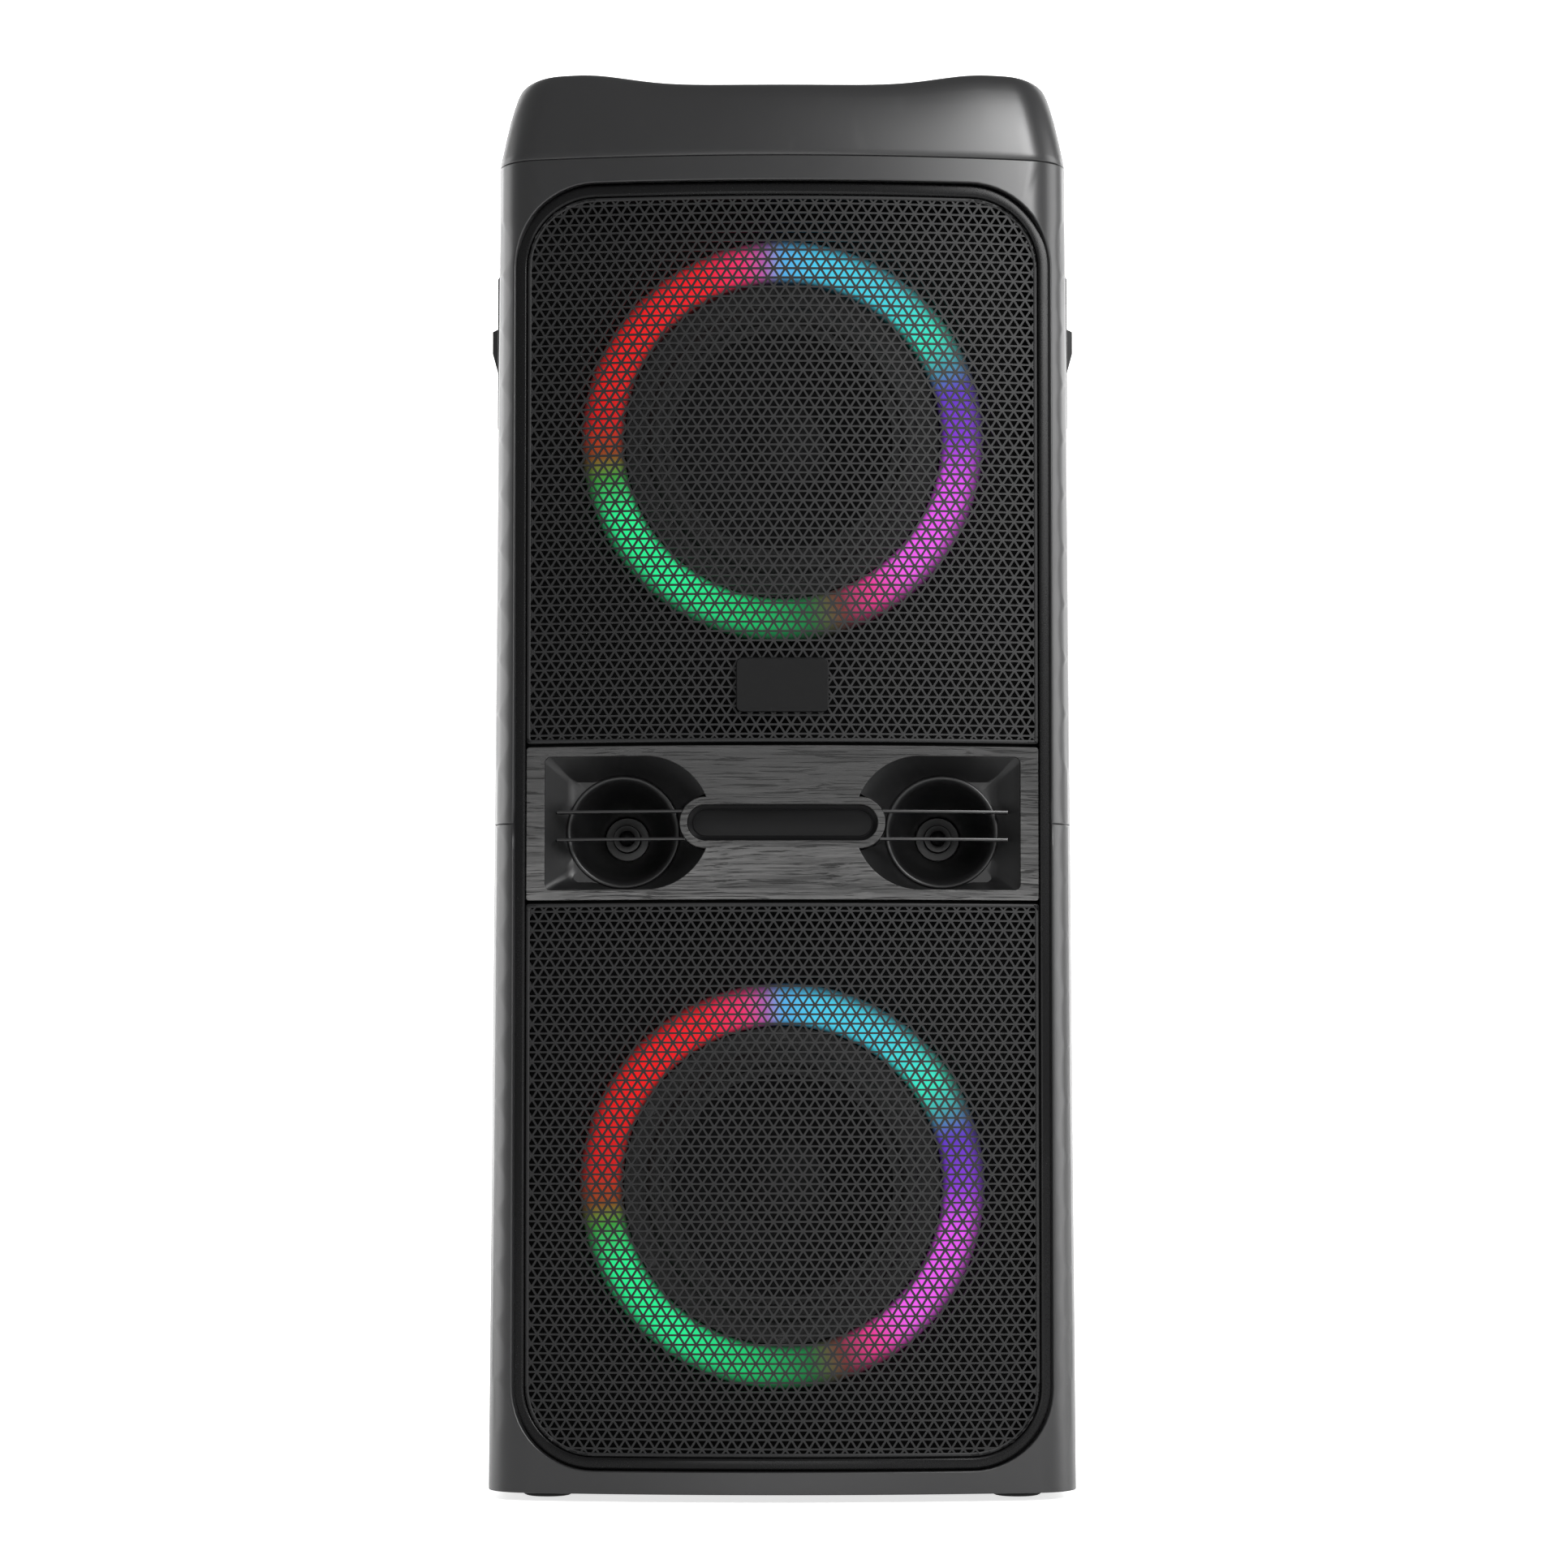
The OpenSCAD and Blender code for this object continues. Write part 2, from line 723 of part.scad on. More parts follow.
module light_boards() color([0.9, 0.9, 0.9]) {
    board_in_r = ring_in_r + ring_wall + 0.4;
    board_out_r = ring_out_r - ring_wall - 0.4;
    for (z = [lower_woofer_z, upper_woofer_z])
        into_baffle(0, z, -led_board_t) {
            difference() {
                cylinder(r = board_out_r, h = led_board_t);
                translate([0, 0, -past]) cylinder(r = board_in_r, h = led_board_t + 2 * past);
            }
            for (i = [0:leds_n - 1])
                rotate(360 / leds_n * i) translate([ring_mid_r, 0, -led_t / 2])
                    cube([led_w, led_w, led_t], center = true);
        }
}

module basket(z) color([0.1, 0.1, 0.1]) {
    windows = 6;
    window_w = 34;
    throat = basket_d;
    front_in_r = surround_r - land_w - 0.4;
    back_r = spider_r + 3;
    into_baffle(0, z, 0) difference() {
        rotate_extrude() polygon([
            [front_in_r, -flange_t], [flange_r, -flange_t], [flange_r, 0],
            [front_in_r + 1.2, 0], [back_r, throat], [back_r, throat + back_ring_t],
            [gap_r + 1, throat + back_ring_t], [gap_r + 1, throat], [ledge_in_r, throat],
            [ledge_in_r, spider_d + 1], [spider_r + 0.3, spider_d + 1], [front_in_r - 1, 0]
        ]);
        for (i = [0:windows - 1])
            rotate(360 / windows * i) translate([0, -window_w / 2, 7])
                cube([flange_r, window_w, 17]);
        for (a = woofer_screw_angles)
            rotate(a) translate([woofer_screw_circle, 0, -flange_t - past])
                cylinder(r = screw_r + 0.1, h = flange_t + 2 * past);
    }
}

module upper_basket() basket(upper_woofer_z);

module lower_basket() basket(lower_woofer_z);

module ring_plate(z, d, t, outer, inner) {
    into_baffle(0, z, d) difference() {
        cylinder(r = outer, h = t);
        translate([0, 0, -past]) cylinder(r = inner, h = t + 2 * past);
    }
}

module upper_magnet() color([0.2, 0.2, 0.21])
    ring_plate(upper_woofer_z, magnet_d, magnet_t, magnet_r, gap_r + 6);

module lower_magnet() color([0.2, 0.2, 0.21])
    ring_plate(lower_woofer_z, magnet_d, magnet_t, magnet_r, gap_r + 6);

module woofer_top_plates() color([0.6, 0.6, 0.6])
    for (z = [lower_woofer_z, upper_woofer_z])
        ring_plate(z, top_plate_d, top_plate_t, magnet_r - 5, gap_r);

module woofer_yokes() color([0.6, 0.6, 0.6])
    for (z = [lower_woofer_z, upper_woofer_z])
        into_baffle(0, z, top_plate_d) {
            cylinder(r = pole_r, h = yoke_d - top_plate_d);
            translate([0, 0, yoke_d - top_plate_d]) cylinder(r = magnet_r - 4, h = yoke_t);
        }

module voice_coil(z) color([0.75, 0.45, 0.2]) {
    former_r = coil_r + former_t;
    into_baffle(0, z, 0) rotate_extrude() polygon([
        [coil_r, cone_neck_d - 4], [former_r, cone_neck_d - 4], [former_r, top_plate_d + 1],
        [former_r + winding_t, top_plate_d + 1], [former_r + winding_t, magnet_d + 10],
        [coil_r, magnet_d + 10]
    ]);
}

module upper_voice_coil() voice_coil(upper_woofer_z);

module lower_voice_coil() voice_coil(lower_woofer_z);

// Corrugated disc between the voice coil and the basket's ledge
module spider(z) color([0.75, 0.6, 0.3]) {
    inner = neck_r + 0.4;
    waves = 4;
    t = 0.7;
    steps = 8 * waves;
    wave_out = ledge_in_r - 0.5;
    top = [for (i = [0:steps]) let (u = i / steps)
        [lerp(inner, wave_out, u), spider_d - sin(360 * waves * u)]];
    into_baffle(0, z, 0) rotate_extrude() polygon(concat(
        top, [[spider_r, spider_d], [spider_r, spider_d + t]],
        [for (i = [steps:-1:0]) top[i] + [0, t]]
    ));
}

module upper_spider() spider(upper_woofer_z);

module lower_spider() spider(lower_woofer_z);

module cone(z) color([0.08, 0.08, 0.08]) {
    edge_w = 3.4;
    into_baffle(0, z, 0) rotate_extrude() polygon([
        [cone_r, cone_front_d], [cone_r, cone_front_d + cone_t],
        [cone_r - edge_w, cone_front_d + cone_t], [neck_r + cone_t, cone_neck_d],
        [neck_r, cone_neck_d], [neck_r, cone_neck_d - cone_t], [cone_r - edge_w, cone_front_d]
    ]);
}

module upper_cone() cone(upper_woofer_z);

module lower_cone() cone(lower_woofer_z);

module dust_cap(z) color([0.07, 0.07, 0.07]) {
    cap_r = 22;
    rise = 7;
    t = 0.8;
    seat = 0.3;
    run = (cone_r - 3.4 - cap_r) / (cone_r - 3.4 - neck_r);
    base_d = lerp(cone_front_d, cone_neck_d - cone_t, run) - seat;
    ball = (pow(cap_r, 2) + pow(rise, 2)) / (2 * rise);
    into_baffle(0, z, base_d + ball - rise) difference() {
        intersection() {
            sphere(r = ball);
            translate([0, 0, -ball - past]) cylinder(r = cap_r, h = rise + past);
        }
        sphere(r = ball - t);
    }
}

module upper_dust_cap() dust_cap(upper_woofer_z);

module lower_dust_cap() dust_cap(lower_woofer_z);

// Half roll of rubber between the basket's flange and the cone's edge
module surround(z) color([0.05, 0.05, 0.05]) {
    inner = roll_mid_r - roll_r - land_w;
    front = rim_d - land_t;
    outer_arc = arc(roll_mid_r, front + land_t, roll_r + land_t / 2, 0, -180, 16);
    inner_arc = arc(roll_mid_r, front + land_t, roll_r - land_t / 2, -180, 0, 16);
    into_baffle(0, z, 0) rotate_extrude() polygon(concat(
        [[surround_r, rim_d], [surround_r, front]],
        [for (p = outer_arc) if (p[1] < front) p],
        [[inner, front], [inner, rim_d]],
        inner_arc
    ));
}

module upper_surround() surround(upper_woofer_z);

module lower_surround() surround(lower_woofer_z);

module screw(l) {
    cylinder(r = screw_r, h = l);
    translate([0, 0, -head_t]) difference() {
        cylinder(r = head_r, h = head_t);
        for (a = [0, 90])
            rotate(a) translate([-1.6, -0.4, -past]) cube([3.2, 0.8, head_t / 2 + past]);
    }
}

module woofer_screws() color([0.1, 0.1, 0.1])
    for (z = [lower_woofer_z, upper_woofer_z], a = woofer_screw_angles)
        into_baffle(0, z, -flange_t) rotate(a) translate([woofer_screw_circle, 0, 0])
            screw(woofer_screw_l);

// --- Handles ---

// Plate with a lip, and a finger pocket behind it that runs up behind the lip
module handle(s) color([0.13, 0.13, 0.14]) {
    cup_wall = 2.5;
    bevel = 9;
    plate_x = half_w(handle_z - handle_h / 2) + 0.1;
    face_x = plate_x + handle_proud;
    z0 = handle_z - handle_h / 2;
    z1 = handle_z + handle_h / 2;
    mouth_z0 = handle_z - cup_h / 2 + cup_wall;
    mouth_z1 = mouth_z0 + mouth_h;
    lip_z1 = mouth_z1 + 22;
    lip_flat = 11;
    mirror([s < 0 ? 1 : 0, 0, 0]) difference() {
        union() {
            translate([0, handle_l / 2, 0]) rotate([90, 0, 0]) linear_extrude(handle_l)
                polygon([[plate_x, z0], [face_x, z0 + 2], [face_x, z1 - 2], [plate_x, z1]]);
            translate([face_x - pocket_d - cup_wall, -cup_l / 2, handle_z - cup_h / 2])
                cube([pocket_d + cup_wall, cup_l, cup_h]);
            translate([0, cup_l / 2 + 4, 0]) rotate([90, 0, 0]) linear_extrude(cup_l + 8)
                polygon([[face_x - 1, mouth_z1], [face_x, mouth_z1],
                    [face_x + lip_proud, lip_z1 - lip_flat], [face_x + lip_proud, lip_z1],
                    [face_x, lip_z1 + 1.5], [face_x - 1, lip_z1 + 1.5]]);
        }
        translate([face_x - pocket_d, -cup_l / 2 + cup_wall, mouth_z0])
            cube([pocket_d - 4, cup_l - 2 * cup_wall, cup_h - 2 * cup_wall]);
        translate([face_x - pocket_d, -cup_l / 2 + cup_wall, mouth_z0])
            cube([pocket_d + past, cup_l - 2 * cup_wall, mouth_h]);
        for (y = [-1, 1])
            translate([0, y * handle_l / 2, 0]) mirror([0, y > 0 ? 0 : 1, 0])
                translate([plate_x + 0.2, 0, z0 - past]) rotate(-bevel)
                    cube([20, 20, handle_h + 2 * past]);
    }
}

module left_handle() translate([0, -handle_forward, 0]) handle(-1);

module right_handle() translate([0, -handle_forward, 0]) handle(1);

// --- Control deck ---

module control_deck() color([0.1, 0.1, 0.1]) {
    posts = [for (x = [-1, 1], y = [-1, 1]) [x * board_w / 2 - x * 6, board_y + y * (board_l / 2 - 6)]];
    difference() {
        translate([0, 0, deck_z]) linear_extrude(deck_t) deck_outline(0);
        for (x = button_x)
            translate([x, knob_y, deck_z - past])
                cylinder(r = button_r + 0.4, h = deck_t + 2 * past);
        for (at = [[0, knob_y], mic_knob_at])
            translate([at[0], at[1], deck_z - past])
                cylinder(r = shaft_r + 0.4, h = deck_t + 2 * past);
    }
    for (at = posts)
        translate([at[0], at[1], board_top]) cylinder(r = 3, h = deck_z - board_top);
}
module control_board() color([0.05, 0.25, 0.12]) {
    translate([-board_w / 2, board_y - board_l / 2, board_z]) cube([board_w, board_l, board_t]);
    for (at = [[0, knob_y], mic_knob_at])
        translate([at[0], at[1], board_top]) difference() {
            translate([0, 0, encoder_h / 2]) cube([encoder_w, encoder_w, encoder_h], center = true);
            translate([0, 0, 1]) cylinder(r = shaft_r + run_gap, h = encoder_h);
        }
    for (x = button_x)
        translate([x, knob_y, board_top + switch_h / 2])
            cube([switch_w, switch_w, switch_h], center = true);
}

// Knob with a shaft in its encoder, a chamfered top and a pointer groove
module knob(at, r, h) {
    lift = 0.5;
    translate([at[0], at[1], 0]) difference() {
        union() {
            translate([0, 0, deck_top + lift]) rotate_extrude()
                polygon([[0, 0], [r, 0], [r, h - 1.5], [r - 1.5, h], [0, h]]);
            translate([0, 0, board_top + 1.5]) cylinder(r = shaft_r, h = deck_top + lift - board_top);
        }
        translate([-0.6, r * 0.45, deck_top + lift + h - 0.8]) cube([1.2, r, 2]);
    }
}

module volume_knob() color([0.12, 0.12, 0.12]) knob([0, knob_y], knob_r, knob_h);

module mic_knob() color([0.12, 0.12, 0.12]) knob(mic_knob_at, mic_knob_r, mic_knob_h);

module button(i) color([0.14, 0.14, 0.14]) {
    lip_t = 1.4;
    stem_z = board_top + switch_h + stem_gap + button_travel;
    translate([button_x[i], knob_y, 0]) {
        translate([0, 0, deck_z - cap_skirt]) rotate_extrude()
            polygon([[0, 0], [button_r, 0], [button_r, cap_skirt + deck_t + button_rise - 0.6],
                [button_r - 0.6, cap_skirt + deck_t + button_rise],
                [0, cap_skirt + deck_t + button_rise]]);
        translate([0, 0, deck_z - lip_t - 0.3]) cylinder(r = button_r + 1.6, h = lip_t);
        translate([0, 0, stem_z]) cylinder(r = 2, h = deck_z - cap_skirt - stem_z + eps);
    }
}

module power_button() button(0);

module light_button() button(1);

module play_button() button(2);

module bass_button() button(3);

// --- Rear ---

module rear_panel() color([0.1, 0.1, 0.1]) {
    difference() {
        union() {
            along_y(plate_y0, plate_face_y) translate([0, plate_z])
                rounded(plate_w, plate_h, plate_r - fit);
            along_y(plate_y0 - 3, plate_y0) translate([0, plate_z])
                rounded(plate_w + 2 * plate_lip, plate_h + 2 * plate_lip, plate_r + plate_lip);
            for (x = [-1, 1], z = [-1, 1])
                along_y(amp_y + amp_t, plate_y0 - 3 + eps)
                    translate([x * (amp_w / 2 - 6), plate_z + z * (amp_h / 2 - 6)])
                        circle(r = standoff_r);
        }
        along_y(plate_y0 - 3 - past, plate_face_y + past) {
            translate(inlet_at) square([inlet_w + 2 * fit, inlet_h + 2 * fit], center = true);
            translate(usb_at)
                square([usb_w + 2 * usb_wall + 2 * fit, usb_h + 2 * usb_wall + 2 * fit], center = true);
            for (at = jack_at) translate(at) circle(r = jack_thread_r + fit);
            for (at = plate_screw_at) translate(at) circle(r = screw_r + 0.1);
        }
    }
}

module jack_sockets() color([0.5, 0.5, 0.5]) {
    for (at = jack_at)
        difference() {
            union() {
                along_y(plate_y0 - 3 - 22, plate_y0 - 3) translate(at) circle(r = jack_body_r);
                along_y(plate_y0 - 3 - eps, plate_face_y + nut_t) translate(at)
                    circle(r = jack_thread_r);
                along_y(plate_face_y, plate_face_y + nut_t) translate(at) circle(r = nut_r);
            }
            along_y(plate_face_y + nut_t - jack_l, rear_y + past) translate(at) circle(r = jack_r);
        }
}

module usb_port() color([0.7, 0.7, 0.7]) {
    tongue_h = 1.6;
    difference() {
        along_y(plate_face_y - usb_d, plate_face_y) translate(usb_at)
            square([usb_w + 2 * usb_wall, usb_h + 2 * usb_wall], center = true);
        along_y(plate_face_y - usb_d + 2, plate_face_y + past) translate(usb_at)
            square([usb_w, usb_h], center = true);
    }
    along_y(plate_face_y - usb_d + 1, plate_face_y - usb_d + 7)
        translate(usb_at + [0, usb_h / 2 - tongue_h / 2 - 0.2])
            square([usb_w - 3, tongue_h], center = true);
}

// Mains inlet and the rocker's frame in one moulding
module power_inlet() color([0.05, 0.05, 0.05]) {
    back_y = plate_face_y - inlet_d;
    difference() {
        union() {
            along_y(back_y, plate_face_y) translate(inlet_at)
                square([inlet_w, inlet_h], center = true);
            along_y(plate_face_y, plate_face_y + inlet_flange_t) translate(inlet_at)
                rounded(inlet_w + 2 * inlet_flange, inlet_h + 2 * inlet_flange, 2);
        }
        along_y(plate_face_y + inlet_flange_t - socket_d, rear_y + past)
            translate(inlet_at + [socket_dx, 0]) rounded(socket_w, socket_h, socket_h / 2 - 1);
        along_y(rocker_y - 12, rear_y + past) translate(inlet_at + [rocker_dx, 0])
            square([rocker_w + 2 * rocker_gap, rocker_h + 4], center = true);
        translate([inlet_at[0] + rocker_dx, rocker_y, inlet_at[1]]) rotate([0, 90, 0])
            cylinder(r = pivot_r + run_gap, h = rocker_w + 2 * pin_l + 1, center = true);
    }
    for (x = [-1, 1])
        along_y(plate_face_y + inlet_flange_t - socket_d - eps, plate_face_y - 3)
            translate(inlet_at + [socket_dx + x * contact_pitch / 2, 0]) circle(r = contact_r);
}
module power_switch() color([0.3, 0.05, 0.05]) {
    translate([inlet_at[0] + rocker_dx, rocker_y, inlet_at[1]]) rotate([rocker_tilt, 0, 0]) {
        rotate([0, 90, 0]) linear_extrude(rocker_w, center = true)
            polygon([[-rocker_h / 2, 3.6], [0, 2.4], [rocker_h / 2, 3.6], [rocker_h / 2 - 1, -3],
                [3, -rocker_d + 2], [-3, -rocker_d + 2], [1 - rocker_h / 2, -3]]);
        rotate([0, 90, 0]) cylinder(r = pivot_r, h = rocker_w + 2 * pin_l, center = true);
    }
}

module port_tube() color([0.06, 0.06, 0.06]) {
    tube_wall = 2.5;
    lip = 4;
    lip_t = 2;
    bend = arc(port_flare_r, port_flare, port_flare, 180, 270, 12);
    translate([0, rear_y, port_z]) rotate([90, 0, 0]) rotate_extrude() polygon(concat(
        [[port_r, port_l]], bend,
        [[port_flare_r, wall], [port_flare_r + lip, wall], [port_flare_r + lip, wall + lip_t],
            [port_r + tube_wall + 1, wall + 2 * lip_t], [port_r + tube_wall, wall + 4 * lip_t],
            [port_r + tube_wall, port_l]]
    ));
}
// --- Inside ---

module amplifier_board() color([0.05, 0.25, 0.12]) {
    cans = [[-50, 30], [-30, 30], [50, 30]];
    along_y(amp_y, amp_y + amp_t) translate([0, plate_z]) square([amp_w, amp_h], center = true);
    for (at = cans)
        along_y(amp_y - 20, amp_y) translate([at[0], plate_z + at[1]]) circle(r = 8);
}

module heatsink() color([0.6, 0.6, 0.62]) {
    fins = 10;
    sink_w = 110;
    sink_h = 44;
    sink_z = plate_z - 22;
    pitch = (sink_w - 2) / (fins - 1);
    along_y(amp_y - 5, amp_y) translate([0, sink_z]) square([sink_w, sink_h], center = true);
    for (i = [0:fins - 1])
        along_y(amp_y - 28, amp_y - 5 + eps)
            translate([-sink_w / 2 + 1 + i * pitch, sink_z]) square([2, sink_h], center = true);
}

module power_supply() color([0.6, 0.55, 0.3]) {
    board_size = [170, 62, 1.6];
    at = [-85, 78, base_z + 8];
    translate(at) cube(board_size);
    for (x = [6, 164], y = [6, 56])
        translate(at + [x, y, -8]) cylinder(r = 3, h = 8 + eps);
    translate(at + [20, 12, 1.6 - eps]) cube([40, 36, 32]);
    for (x = [80, 100, 120])
        translate(at + [x, 30, 1.6 - eps]) cylinder(r = 8.5, h = 26);
    translate(at + [136, 14, 1.6 - eps]) cube([20, 34, 22]);
}

module battery_pack() color([0.15, 0.2, 0.45]) {
    size = [160, 110, 52];
    translate([-size[0] / 2, -50, base_z]) difference() {
        cube(size);
        for (x = [20 : 20 : 140])
            translate([x, -past, size[2]]) rotate([-90, 0, 0]) cylinder(r = 2, h = size[1] + 2 * past);
    }
}

module case_screws() color([0.1, 0.1, 0.1]) {
    plate_screw_l = 12;
    base_screw_l = 8;
    for (at = plate_screw_at)
        translate([at[0], plate_face_y, at[1]]) rotate([90, 0, 0]) screw(plate_screw_l);
    for (at = base_screw_at)
        translate([at[0], at[1], foot_h + head_t + 0.2]) screw(base_screw_l);
}

lower_shell();
upper_shell();
top_cap();
base_plate();
feet();
bezel_frame();
baffle();
upper_grille();
lower_grille();
badge_plate();
horn_panel();
left_horn();
right_horn();
horn_fins();
left_tweeter();
right_tweeter();
phase_plugs();
display_window();
display_board();
upper_light_ring();
lower_light_ring();
light_boards();
upper_basket();
lower_basket();
upper_magnet();
lower_magnet();
woofer_top_plates();
woofer_yokes();
upper_voice_coil();
lower_voice_coil();
upper_spider();
lower_spider();
upper_cone();
lower_cone();
upper_dust_cap();
lower_dust_cap();
upper_surround();
lower_surround();
woofer_screws();
left_handle();
right_handle();
control_deck();
control_board();
volume_knob();
mic_knob();
power_button();
light_button();
play_button();
bass_button();
rear_panel();
jack_sockets();
usb_port();
power_inlet();
power_switch();
port_tube();
amplifier_board();
heatsink();
power_supply();
battery_pack();
case_screws();
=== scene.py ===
"""Looks of the party speaker: shells, grilles, light rings, horns, controls and sockets.

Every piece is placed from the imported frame. The front faces -Y and +Z is up.
"""
import bisect
import logging
import math
from contextlib import contextmanager
from dataclasses import dataclass
from enum import Enum
from functools import lru_cache
from typing import Callable, Iterable, Iterator, Sequence

import bmesh
import bpy
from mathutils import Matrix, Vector
from mathutils.geometry import delaunay_2d_cdt
from mathutils.kdtree import KDTree


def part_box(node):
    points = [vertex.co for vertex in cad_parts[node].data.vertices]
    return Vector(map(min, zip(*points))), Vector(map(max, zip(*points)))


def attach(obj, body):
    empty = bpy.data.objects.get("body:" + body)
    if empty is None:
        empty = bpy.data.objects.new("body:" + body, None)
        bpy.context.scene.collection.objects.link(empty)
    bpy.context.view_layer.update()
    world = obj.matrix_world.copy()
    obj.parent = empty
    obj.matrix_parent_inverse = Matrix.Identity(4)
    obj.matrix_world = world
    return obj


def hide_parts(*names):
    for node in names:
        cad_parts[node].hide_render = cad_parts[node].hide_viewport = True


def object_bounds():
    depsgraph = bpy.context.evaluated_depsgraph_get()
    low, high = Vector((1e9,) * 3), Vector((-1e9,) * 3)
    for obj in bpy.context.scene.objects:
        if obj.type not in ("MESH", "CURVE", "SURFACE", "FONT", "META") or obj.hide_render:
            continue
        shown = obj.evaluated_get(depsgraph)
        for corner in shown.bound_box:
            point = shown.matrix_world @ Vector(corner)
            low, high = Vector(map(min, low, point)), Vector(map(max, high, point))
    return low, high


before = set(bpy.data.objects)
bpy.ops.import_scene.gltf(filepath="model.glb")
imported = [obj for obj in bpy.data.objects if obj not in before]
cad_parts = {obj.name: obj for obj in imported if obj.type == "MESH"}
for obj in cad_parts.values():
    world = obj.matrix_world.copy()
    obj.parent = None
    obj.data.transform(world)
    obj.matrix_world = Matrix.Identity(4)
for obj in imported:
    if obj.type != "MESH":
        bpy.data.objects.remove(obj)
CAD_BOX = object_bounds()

LOG = logging.getLogger("party_speaker")
MM = 0.001
CABINET = "cabinet"
Point2 = tuple[float, float]
Point3 = tuple[float, float, float]
Loop = list[Point2]
Ring = list[Point3]
Faces = list[tuple[int, ...]]
LoopAt = Callable[[float], Loop]


# --- Shader maths ---

class Shade:
    """A socket that takes part in Python arithmetic and adds Math nodes as it goes."""

    def __init__(self, tree: "ShaderTree", socket: bpy.types.NodeSocket) -> None:
        """Wraps one output socket of a node tree."""
        self.tree = tree
        self.socket = socket

    def _math(self, operation: str, *others: "Shade | float",
              first: "Shade | float | None" = None) -> "Shade":
        """Adds one Math node.

        Args:
            operation: the Math node's operation.
            others: the values after the first one.
            first: the first value, where it isn't this socket.

        Returns:
            The node's result.
        """
        values = (self if first is None else first, *others)
        return self.tree.node("ShaderNodeMath", {"operation": operation}, dict(enumerate(values)))

    def __add__(self, other: "Shade | float") -> "Shade":
        """Sum."""
        return self._math("ADD", other)

    __radd__ = __add__

    def __sub__(self, other: "Shade | float") -> "Shade":
        """Difference."""
        return self._math("SUBTRACT", other)

    def __rsub__(self, other: "Shade | float") -> "Shade":
        """Difference, this value last."""
        return self._math("SUBTRACT", self, first=other)

    def __mul__(self, other: "Shade | float") -> "Shade":
        """Product."""
        return self._math("MULTIPLY", other)

    __rmul__ = __mul__

    def __truediv__(self, other: "Shade | float") -> "Shade":
        """Quotient."""
        return self._math("DIVIDE", other)

    def between(self, low: float, high: float) -> "Shade":
        """0 below low, 1 above high and smooth between them."""
        inputs = {"Value": self, "From Min": low, "From Max": high}
        return self.tree.node("ShaderNodeMapRange", {"interpolation_type": "SMOOTHSTEP"}, inputs)

    def length_with(self, other: "Shade") -> "Shade":
        """Length of the vector of this value and another."""
        return (self * self + other * other)._math("SQRT")

    def angle_with(self, other: "Shade") -> "Shade":
        """Angle whose tangent is this value over the other, in radians."""
        return self._math("ARCTAN2", other)


